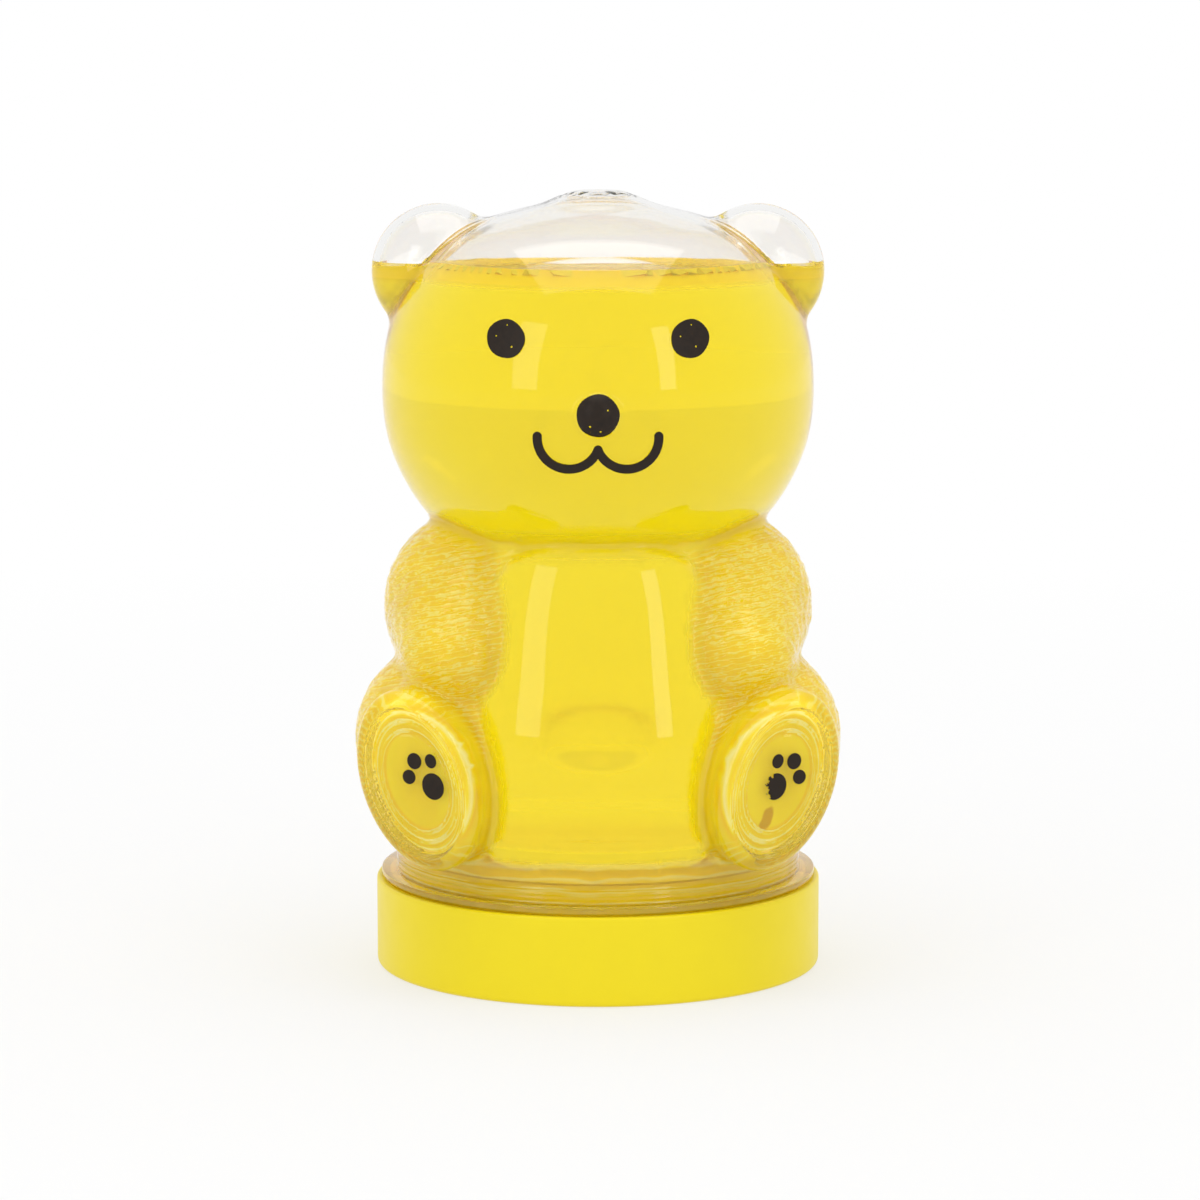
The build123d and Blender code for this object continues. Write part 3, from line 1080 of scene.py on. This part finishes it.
@dataclass
class Jar:
    """The clear jar: hollow bear, neck, flange and thread in one wall."""

    shape: BearShape
    clear: Material
    wetted: Material
    outer_voxel: float = 0.78
    inner_voxel: float = 1.6
    contact_height: float = 115.0
    box_gap: float = 0.005

    def neck_section(self) -> Section:
        """Half section of the neck, from the seam down the outside, round the lip and up the bore."""
        top, bore, rows = SEAM - SEAM_GAP, self.shape.neck_bore, 34
        points = [(NECK, top)]
        for middle in (18.1, 17.35, 16.6):
            points += [(NECK, middle + 0.3), (NECK + 0.13, middle), (NECK, middle - 0.3)]
        points += [(NECK, 16.05), (33.08, 15.87), (33.25, 15.8), (35.3, 15.8), (35.52, 15.7), (35.6, 15.48)]
        points += [(35.6, 15.0), (35.52, 14.79), (35.3, 14.7), (33.2, 14.7), (NECK, 14.55)]
        points += [(NECK, 14.3 - 10.9 * k / rows) for k in range(rows + 1)]
        points += [(32.95, 3.1), (32.75, 2.93), (32.5, 2.9), (31.7, 2.9), (31.4, 2.95), (31.22, 3.1)]
        points += [(bore, 3.4 + (top - 3.4) * k / 8) for k in range(9)]
        return points

    def face(self, name: str, form: Field, insets: tuple[float, float], voxel: float, fine: bool) -> Item:
        """Model one face of the wall, open at the seam.

        Args:
            name: Name of the new object.
            form: Distance to the face.
            insets: How far the trunk and the limbs are drawn in.
            voxel: Size of the mesh's faces.
            fine: Whether the soles carry fine ridges.

        Returns:
            The face, settled on its form.
        """
        item = self.shape.rough(name, *insets, voxel)
        settle(item, form)
        Bench.modify(item, "SMOOTH", factor=0.3, iterations=2)
        if fine:
            self.refine(item)
        settle(item, form, 3)
        Bench.cut(item, SEAM, below=True)
        return item

    def build(self) -> tuple[Item, Item]:
        """Model the jar and its materials.

        Returns:
            The jar, and a copy of its inner face to model the honey from.
        """
        shape = self.shape
        outer = self.face("clear_jar", shape.outer, (0, 0), self.outer_voxel, True)
        inner = self.face("inner_face", shape.inner, (shape.wall, shape.limb_wall), self.inner_voxel, False)
        Bench.cut(inner, self.contact_height)
        lining = Bench.copy(inner, "lining")
        Bench.edit(lining)
        bpy.ops.mesh.flip_normals()
        Bench.done()
        neck = Bench.lathe("neck", self.neck_section(), SLICES)
        Thread(root=NECK, depth=1.4, start=4.9, turns=1.5, half_width=1.1, outward=1).lay(neck)
        Bench.modify(neck, "WELD", merge_threshold=0.001 * MM)
        jar = Bench.join([outer, lining, neck])
        Bench.bridge(jar, 32.0, 40.0)
        Bench.bridge(jar, 20.0, 32.0)
        Bench.face_outwards(jar)
        low, high = (np.array(corner) / MM for corner in cad_box)
        Bench.write(jar, np.clip(Bench.read(jar), low + self.box_gap, high - self.box_gap))
        self.dress(jar)
        return jar, inner

    def refine(self, outer: Item) -> None:
        """Halve the faces of the soles, so that they hold the fine ridges."""
        middle = Bench.numbers(outer.data.polygons, "center", width=3) / MM
        chosen = np.zeros(len(middle), bool)
        for leg in self.shape.legs:
            flat = leg.local(middle)
            spread = leg.spread(flat)
            chosen |= (spread > 0.45) & (spread < 0.88) & (flat[:, 2] > -2.5)
        Bench.edit_some(outer, chosen, Part.FACES)
        bpy.ops.mesh.subdivide(number_cuts=1)
        Bench.done()

    def dress(self, jar: Item) -> None:
        """Give the outer and inner faces their materials, fur and smooth normals."""
        mesh, shape = jar.data, self.shape
        Bench.coat(jar, self.clear, self.wetted)
        at = Bench.read(jar)
        above = at[:, 2] > SEAM - 0.01
        in_bore = np.abs(np.hypot(at[:, 0], at[:, 1]) - shape.neck_bore) < 0.1
        inside = np.where(above, np.abs(shape.inner(at)) < np.abs(shape.outer(at)), in_bore)
        middle = Bench.numbers(mesh.polygons, "center", width=3) / MM
        corners = Bench.numbers(mesh.loops, "vertex_index", int)
        starts = Bench.numbers(mesh.polygons, "loop_start", int)
        face_inside = np.minimum.reduceat(inside[corners].astype(int), starts) > 0
        wet = face_inside & (middle[:, 2] < self.contact_height)
        mesh.polygons.foreach_set("material_index", wet.astype(int))
        fur = mesh.attributes.new("fur", "FLOAT", "POINT")
        fur.data.foreach_set("value", np.where(above & ~inside, shape.furriness(at), 0.0))
        Bench.smooth(jar, 40)
        normals = Bench.numbers(mesh.corner_normals, "vector", width=3)
        way = np.where(inside[:, None], -slope(shape.inner, at), slope(shape.outer, at))
        way /= np.maximum(np.linalg.norm(way, axis=1), 1e-9)[:, None]
        use = above[corners]
        normals[use] = way[corners][use]
        mesh.normals_split_custom_set(normals.tolist())


@dataclass
class HoneyFill:
    """The honey: the jar's inner face drawn in a hair, with a raised edge where it meets the wall."""

    shape: BearShape
    body: Material
    top: Material
    under: Material
    level: float = 113.0
    climb: float = 2.0
    climb_reach: float = 1.1
    cell: float = 1.3
    skin_gap: float = 0.015
    flat: float = 0.995
    gap: float = 0.06
    plain_cloud: float = 0.12
    top_cloud: float = 0.06
    limb_cloud: float = 0.88
    ear_cloud: float = 0.7
    neck_cloud: float = 0.95
    crease_cloud: float = 0.7

    def held(self, at: Points) -> Values:
        """Distance to the honey's side."""
        return self.shape.inner(at) + self.gap

    def build(self, inner: Item) -> Item:
        """Model the honey.

        Args:
            inner: The jar's inner face, open at the seam, which becomes the honey.

        Returns:
            The closed honey.
        """
        inner.name = inner.data.name = "honey"
        settle(inner, self.held, 2)
        Bench.cut(inner, self.level, above=True, cap=True)
        self.meniscus(inner)
        radius, foot = self.shape.neck_bore - self.gap, self.shape.lip + self.gap
        rise_up = SEAM - SEAM_GAP - foot - 0.4
        section = [(0, foot), (12, foot), (24, foot), (radius - 0.4, foot), (radius - 0.1, foot + 0.1)]
        section += [(radius, foot + 0.4 + rise_up * k / 6) for k in range(7)]
        neck = Bench.lathe("honey_neck", section, SLICES)
        Bench.coat(neck, self.body)
        honey = Bench.join([inner, neck])
        Bench.bridge(honey, 20, 40)
        Bench.face_outwards(honey)
        self.tint(honey)
        honey = self.skin(honey)
        Bench.smooth(honey, 50)
        return honey

    def skin(self, honey: Item) -> Item:
        """Lay a thin skin on the level top that bends light as honey does, and join it on."""
        sheet = Bench.copy(honey, "honey_skin")
        faces = sheet.data.polygons
        upright = Bench.numbers(faces, "normal", width=3)[:, 2] > self.flat
        kept = upright & (Bench.numbers(faces, "material_index", int) == 1)
        Bench.edit_some(sheet, ~kept, Part.FACES)
        bpy.ops.mesh.delete(type="FACE")
        Bench.done()
        Bench.write(sheet, Bench.read(sheet) + (0, 0, self.skin_gap))
        count = len(sheet.data.polygons)
        Bench.modify(sheet, "SOLIDIFY", thickness=self.skin_gap * MM, offset=1.0)
        Bench.coat(sheet, self.top, self.under)
        below = np.arange(len(sheet.data.polygons)) >= count
        sheet.data.polygons.foreach_set("material_index", below.astype(int))
        honey.data.polygons.foreach_set("material_index", np.zeros(len(honey.data.polygons), int))
        Bench.coat(honey, self.body)
        return Bench.join([honey, sheet])

    def tint(self, honey: Item) -> None:
        """Say in the mesh where the honey looks cloudy, where deeper amber shade is painted, and where the
        fur's painted shade lines go.
        """
        at = Bench.read(honey)
        shape = self.shape
        near = at - slope(shape.outer, at) * shape.outer(at)[:, None]
        head = shape.head.distance(near, 0)
        reach = np.min([shape.limbs(near), *(leg.distance(near, 0) for leg in shape.legs)], axis=0)
        limb = 1 - rise(reach, 0.2, 2.6)
        ear = 1 - rise(np.min([ear.distance(near, 0) for ear in shape.ears], axis=0), 0.1, 1.2)
        ear *= rise(head, -0.2, 1.0)
        neck = (1 - rise(at[:, 2], 20.6, 22.8)) * (0.3 + 0.7 * rise(-at[:, 1], 0, 14))
        crease = np.exp(-(head / 2.6) ** 2) * (1 - rise(at[:, 2], 72, 76))
        top = at[:, 2] > self.level - 0.01
        cloud = np.maximum(self.limb_cloud * limb, self.ear_cloud * ear)
        cloud = np.max([cloud, self.neck_cloud * neck, self.crease_cloud * crease], axis=0)
        cloud = np.maximum(cloud, self.plain_cloud)
        marks = {
            "cloud": np.where(top, self.top_cloud, cloud),
            # Painted shade: deeper amber low in the neck, and a little in the limbs and ears.
            "amber_shade": np.max([0.1 * limb, 0.75 * neck, 0.2 * ear], axis=0),
            "fur": shape.furriness(near) * rise(at[:, 2], 20, 23),
            "rim": np.where(top, rise(at[:, 2], self.level + 0.1, self.level + 0.7), 1.0),
        }
        for name, values in marks.items():
            honey.data.attributes.new(name, "FLOAT", "POINT").data.foreach_set("value", values)

    def meniscus(self, honey: Item) -> None:
        """Cut the flat top into a fine grid and raise its edge up the wall."""
        Bench.coat(honey, self.body, self.top)
        sizes = Bench.numbers(honey.data.polygons, "loop_total", int)
        lid = sizes == sizes.max()
        honey.data.polygons.foreach_set("material_index", lid.astype(int))
        honey.active_material_index = 1
        Bench.edit_some(honey, lid, Part.FACES)
        for axis, reach in (((1, 0, 0), 38.0), ((0, 1, 0), 34.0)):
            for place in np.arange(-reach, reach, self.cell):
                bpy.ops.mesh.select_all(action="DESELECT")
                bpy.ops.object.material_slot_select()
                point = tuple(place * MM * step for step in axis)
                bpy.ops.mesh.bisect(plane_co=point, plane_no=axis, threshold=1e-7)
        Bench.done()
        at = Bench.read(honey)
        flat = np.abs(at[:, 2] - self.level) < 0.004
        depth = np.maximum(-self.held(at), 0)
        front = 0.35 + 0.65 * rise(-at[:, 1], -5, 15)
        at[flat, 2] += (self.climb * front * np.exp(-depth / self.climb_reach))[flat]
        wall = flat & (depth < 0.05)
        for _ in range(4):
            way = slope(self.held, at)
            way[:, 2] = 0
            size = np.maximum((way * way).sum(axis=1), 0.1)
            at[wall] -= (way * (self.held(at) / size)[:, None])[wall]
        Bench.write(honey, at)


@dataclass
class Cap:
    """The screw cap: plain skirt, flat floor and one inside thread."""

    plastic: Material
    radius: float = 36.4
    height: float = 14.4
    floor: float = 1.8
    bore: float = 35.05
    slices: int = 240

    def section(self) -> Section:
        """Half section from the middle of the underside round to the middle of the floor."""
        outer, top = self.radius, self.height
        points = [(0, 0), (12, 0), (24, 0), (outer - 1.6, 0), (outer - 0.9, 0.0), (outer - 0.55, 0.05)]
        points += [(outer - 0.3, 0.18), (outer - 0.12, 0.38), (outer - 0.03, 0.62), (outer, 0.95)]
        points += [(outer, 0.95 + 12.8 * k / 8) for k in range(1, 9)]
        points += [(outer - 0.03, 14.1), (outer - 0.12, 14.28), (outer - 0.28, 14.38), (outer - 0.4, top)]
        points += [(self.bore + 0.35, top), (self.bore + 0.12, 14.33), (self.bore, 14.1)]
        rows = 32
        points += [(self.bore, 13.9 - 11.0 * k / rows) for k in range(rows + 1)]
        points += [(self.bore - 0.05, 2.3), (self.bore - 0.2, 1.95), (self.bore - 0.5, self.floor)]
        points += [(24, self.floor), (12, self.floor), (0, self.floor)]
        return points

    def build(self) -> Item:
        """Model and dress the cap."""
        cap = Bench.lathe("yellow_cap", self.section(), self.slices)
        Thread(root=self.bore, depth=1.35, start=6.094, turns=1.25, half_width=0.95, outward=-1).lay(cap)
        Bench.face_outwards(cap)
        Bench.smooth(cap, 32)
        Bench.coat(cap, self.plastic)
        return cap


@dataclass
class Liner:
    """The foam disc under the lip, with the lip's shallow groove."""

    foam: Material
    radius: float = 34.55
    low: float = 1.9
    high: float = 2.8

    def build(self) -> Item:
        """Model and dress the liner."""
        outer, low, high = self.radius, self.low, self.high
        section = [(0, low), (18, low), (outer - 0.2, low), (outer - 0.05, low + 0.06), (outer, low + 0.2)]
        section += [(outer, high - 0.2), (outer - 0.06, high - 0.05), (outer - 0.2, high), (33.4, high)]
        section += [(33.1, high - 0.08), (31.1, high - 0.08), (30.8, high), (16, high), (0, high)]
        liner = Bench.lathe("foam_liner", section, 128)
        Bench.smooth(liner, 32)
        Bench.coat(liner, self.foam)
        return liner


@dataclass
class Print:
    """One printed shape: a thin skin of ink that follows the jar's surface."""

    name: str
    node: str
    place: Matrix
    low: tuple[float, float]
    high: tuple[float, float]
    stencil: Stencil
    cell: float = 0.1
    step: float = 0.01
    gap: float = 0.02
    thickness: float = 0.13

    def build(self, shape: BearShape, ink: Material) -> Item:
        """Cut the shape out of a fine grid, lay it on the jar and give it its thickness.

        Args:
            shape: The jar's surface.
            ink: The ink's material.

        Returns:
            The finished skin.
        """
        width, height = self.high[0] - self.low[0], self.high[1] - self.low[1]
        size = Matrix.Diagonal((width / 2, height / 2, 1, 1))
        middle = Matrix.Translation(((self.low[0] + self.high[0]) / 2, (self.low[1] + self.high[1]) / 2, 0))
        cells = {"x_subdivisions": int(width / self.cell), "y_subdivisions": int(height / self.cell)}
        skin = Bench.start(Primitive.GRID, self.name, middle @ size, size=2, **cells)
        at = Bench.read(skin)
        away = self.stencil(at[:, 0], at[:, 1])
        east = (self.stencil(at[:, 0] + self.step, at[:, 1]) - away) / self.step
        north = (self.stencil(at[:, 0], at[:, 1] + self.step) - away) / self.step
        steep = np.maximum(east**2 + north**2, 0.3)
        reach, near = 0.62 * self.cell, 0.7 * self.cell
        edge = np.abs(away) < reach
        at[edge, 0] -= np.clip(away * east / steep, -near, near)[edge]
        at[edge, 1] -= np.clip(away * north / steep, -near, near)[edge]
        Bench.write(skin, at)
        Bench.edit_some(skin, away > reach, Part.CORNERS)
        bpy.ops.mesh.delete(type="VERT")
        Bench.done()
        turn = np.array(self.place.to_3x3())
        at = Bench.read(skin) @ turn.T + np.array(self.place.translation)
        out = turn[:, 2]
        for _ in range(12):
            away = shape.outer(at) - self.gap
            facing = slope(shape.outer, at) @ out
            at -= np.clip(away / np.maximum(facing, 0.3), -2, 2)[:, None] * out
        Bench.write(skin, at)
        Bench.modify(skin, "SOLIDIFY", thickness=self.thickness * MM, offset=1.0)
        Bench.smooth(skin, 50)
        Bench.coat(skin, ink)
        return skin


class Prints:
    """The face and the paw prints."""

    eye_spread = 14.27
    eye_height = 104.9
    eye_radius = 2.96
    nose_radius = 3.25
    mouth_arc = (4.54, 89.76, 4.87)
    mouth_span = (-158.8, 3.3)
    mouth_stroke = 1.42
    pad_radii = (1.75, 2.15)
    toe_radii = ((1.05, 1.15), (1.15, 1.3), (0.9, 1.15))
    toe_places = ((3.3, 2.6), (1.6, 4.7), (-1.0, 3.9))
    shifts = {-1: (-2.6, -1.5), 1: (-0.6, -0.9)}
    bites = ((-1.55, -1.1, 0.75), (-1.8, 0.35, 0.5), (-0.7, -2.0, 0.5), (-1.1, 1.4, 0.25))
    eye_chips = ((0.9, -1.2, 0.16), (-1.5, 0.4, 0.13), (0.2, 2.1, 0.12))
    nose_chips = ((-1.2, -1.6, 0.18), (1.5, 0.9, 0.14), (0.4, -2.4, 0.16))
    small_box = ((-3.6, -3.6), (3.6, 3.6))
    mouth_box = ((-10.8, -6.0), (10.8, 1.6))
    sole_box = ((-6, -6), (6, 6))

    def __init__(self, shape: BearShape, ink: Material) -> None:
        """Keep the surface and the ink."""
        self.shape = shape
        self.ink = ink

    @staticmethod
    def dot(x: Values, y: Values, cx: float, cy: float, rx: float, ry: float) -> Values:
        """Distance to an oval."""
        return oval_distance(np.stack((x - cx, y - cy), axis=1), np.array((rx, ry)))

    @staticmethod
    def front(x: float, z: float) -> Matrix:
        """A plane before the face, its Z towards the viewer."""
        return Matrix.Translation((x, -34, z)) @ Matrix.Rotation(pi / 2, 4, "X")

    def chipped(self, radius: float, chips: Sequence[Place]) -> Stencil:
        """A round spot of ink with small chips out of it."""

        def stencil(x: Values, y: Values) -> Values:
            """Distance to the spot."""
            spot = np.hypot(x, y) - radius * (1 + 0.012 * np.sin(5 * np.arctan2(y, x) + 1))
            for cx, cy, size in chips:
                spot = np.maximum(spot, size - np.hypot(x - cx, y - cy))
            return spot

        return stencil

    def mouth(self, x: Values, y: Values) -> Values:
        """Distance to the mouth's stroke."""
        cx, _, radius = self.mouth_arc
        low, high = (radians(angle) for angle in self.mouth_span)
        px, pz = np.abs(x) - cx, y
        angle = np.arctan2(pz, px)
        on_arc = (angle > low) & (angle < high)
        arc = np.abs(np.hypot(px, pz) - radius)
        ends = [np.hypot(px - radius * cos(a), pz - radius * sin(a)) for a in (low, high)]
        return np.where(on_arc, arc, np.minimum(*ends)) - self.mouth_stroke / 2

    def paw(self, side: int) -> Stencil:
        """Pad and toes of one sole."""
        out, up = self.shifts[side]

        def stencil(x: Values, y: Values) -> Values:
            """Distance to the pad and the toes."""
            across = side * x
            pad = self.dot(across, y, out, up, *self.pad_radii)
            if side > 0:
                for cx, cy, size in self.bites:
                    dx, dy = across - out - cx, y - up - cy
                    ragged = 0.12 * np.sin(9 * np.arctan2(dy, dx) + cx)
                    pad = np.maximum(pad, size + ragged - np.hypot(dx, dy))
            toes = [
                self.dot(across, y, out + tx, up + ty, rx, ry)
                for (tx, ty), (rx, ry) in zip(self.toe_places, self.toe_radii)
            ]
            return np.minimum(pad, np.min(toes, axis=0))

        return stencil

    def build(self) -> None:
        """Model every print."""
        sides = (("left", -1), ("right", 1))
        eye = self.chipped(self.eye_radius, self.eye_chips)
        nose = self.chipped(self.nose_radius, self.nose_chips)
        prints = []
        for label, side in sides:
            place = self.front(side * self.eye_spread, self.eye_height)
            prints.append(Print(f"{label}_eye_print", f"{label}_eye", place, *self.small_box, eye))
        place = self.front(0, self.shape.nose_height)
        prints.append(Print("nose_print", "nose", place, *self.small_box, nose))
        place = self.front(0, self.mouth_arc[1])
        prints.append(Print("mouth_print", "mouth", place, *self.mouth_box, self.mouth))
        for (label, side), leg in zip(sides, self.shape.legs):
            stencil = self.paw(side)
            prints.append(Print(f"{label}_paw_ink", f"{label}_paw_print", leg.frame(), *self.sole_box, stencil))
        for item in prints:
            skin = item.build(self.shape, self.ink)
            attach(skin, "bear")
            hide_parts(item.node)


@dataclass
class Studio:
    """White floor, white surroundings, soft lamps and the camera. Lengths here are metres."""

    camera_place: Place = (0, -0.700, 0.1583)
    camera_tip: float = 8.0209
    lens: float = 129.61
    shift: float = 2 / 1200
    aim: Place = (0, 0, 0.06)
    mirrored: float = -0.1
    scattered: float = 0.8
    floor_glow: float = 0.565
    floor_colour: Colour = (0.34, 0.34, 0.34, 1)
    floor_fade: tuple[float, float] = (0.12, 0.5)

    def build(self) -> None:
        """Set up everything round the bear."""
        self.camera()
        self.world()
        self.floor()
        self.lamp("left_strip", (-0.52, -0.66, 0.36), (0.22, 0.54), 0.5)
        self.lamp("right_strip", (0.50, -0.68, 0.34), (0.14, 0.50), 0.38)
        self.lamp("overhead", (0.0, -0.05, 1.2), (1.1, 1.1), 4.0)
        scene = bpy.context.scene
        scene.view_settings.view_transform = "Standard"
        scene.cycles.max_bounces = 32
        scene.cycles.transmission_bounces = 32
        scene.cycles.glossy_bounces = 16
        scene.cycles.diffuse_bounces = 24
        scene.cycles.transparent_max_bounces = 32

    def camera(self) -> None:
        """The photograph's viewpoint."""
        data = bpy.data.cameras.new("camera")
        data.lens = self.lens
        data.sensor_width = 36
        data.shift_x = self.shift
        camera = bpy.data.objects.new("camera", data)
        camera.location = self.camera_place
        camera.rotation_euler = (radians(90 - self.camera_tip), 0, 0)
        bpy.context.collection.objects.link(camera)
        bpy.context.scene.camera = camera

    def world(self) -> None:
        """White all round, dimmer in reflections, and brighter through plastic to light the honey scattered.

        The plastic sends much of that scattered light back inside, which the brighter level makes good.
        """
        world = bpy.data.worlds.new("white")
        bpy.context.scene.world = world
        board = Board(world)
        mirror = board.add("LightPath", out="Is Glossy Ray")
        through = board.add("LightPath", out="Is Transmission Ray")
        scatter = board.math("MINIMUM", board.add("LightPath", out="Diffuse Depth"), 1.0)
        strength = 1.0 + self.mirrored * mirror + self.scattered * scatter * through
        board.add("OutputWorld", {"Surface": board.add("Background", {"Color": WHITE, "Strength": strength})})

    def floor(self) -> None:
        """A wide white floor that keeps the bear's shadow."""
        floor = Bench.start(Primitive.GRID, "floor", x_subdivisions=8, y_subdivisions=8, size=6000)
        material = bpy.data.materials.new("white_floor")
        board = Board(material)
        matt = board.add("BsdfDiffuse", {"Color": self.floor_colour})
        glow = board.add("Emission", {"Color": WHITE, "Strength": self.floor_glow})
        near = board.add("AddShader", {0: matt, 1: glow})
        far = board.add("Emission", {"Color": WHITE, "Strength": 1.0})
        away = board.vector("LENGTH", board.add("TexCoord", out="Object"))
        fade = board.span(away, *self.floor_fade)
        board.add("OutputMaterial", {"Surface": board.add("MixShader", {0: fade, 1: near, 2: far})})
        Bench.coat(floor, material)
        floor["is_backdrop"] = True

    def lamp(self, name: str, place: Place, size: tuple[float, float], power: float) -> None:
        """One soft oblong lamp that looks at the bear."""
        data = bpy.data.lights.new(name, "AREA")
        data.shape = "RECTANGLE"
        data.size, data.size_y = size
        data.energy = power
        lamp = bpy.data.objects.new(name, data)
        lamp.location = place
        way = Vector(self.aim) - Vector(place)
        lamp.rotation_euler = way.to_track_quat("-Z", "Y").to_euler()
        bpy.context.collection.objects.link(lamp)


def main() -> None:
    """Build the pieces in order, then the studio."""
    logging.basicConfig(level=logging.INFO, format="%(name)s %(message)s")
    shape = BearShape()
    soles = tuple(leg.frame() for leg in shape.legs)
    wetted = PlainBend("wetted_plastic", 1.0).make()
    jar, inner = Jar(shape, ClearPlastic(soles).make(), wetted).build()
    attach(jar, "bear")
    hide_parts("bear_jar")
    body = Honey(soles).make()
    honey = HoneyFill(shape, body, PlainBend("honey_top", 1.49).make(), wetted).build(inner)
    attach(honey, "bear")
    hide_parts("honey_fill")
    cap = Cap(CapPlastic().make()).build()
    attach(cap, "cap")
    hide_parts("screw_cap")
    liner = Liner(Foam().make()).build()
    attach(liner, "liner")
    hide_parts("cap_liner")
    Prints(shape, Ink().make()).build()
    Studio().build()
    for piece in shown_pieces():
        log.info("%s: %d polygons", piece.name, len(piece.data.polygons))


if __name__ == "__main__":
    main()
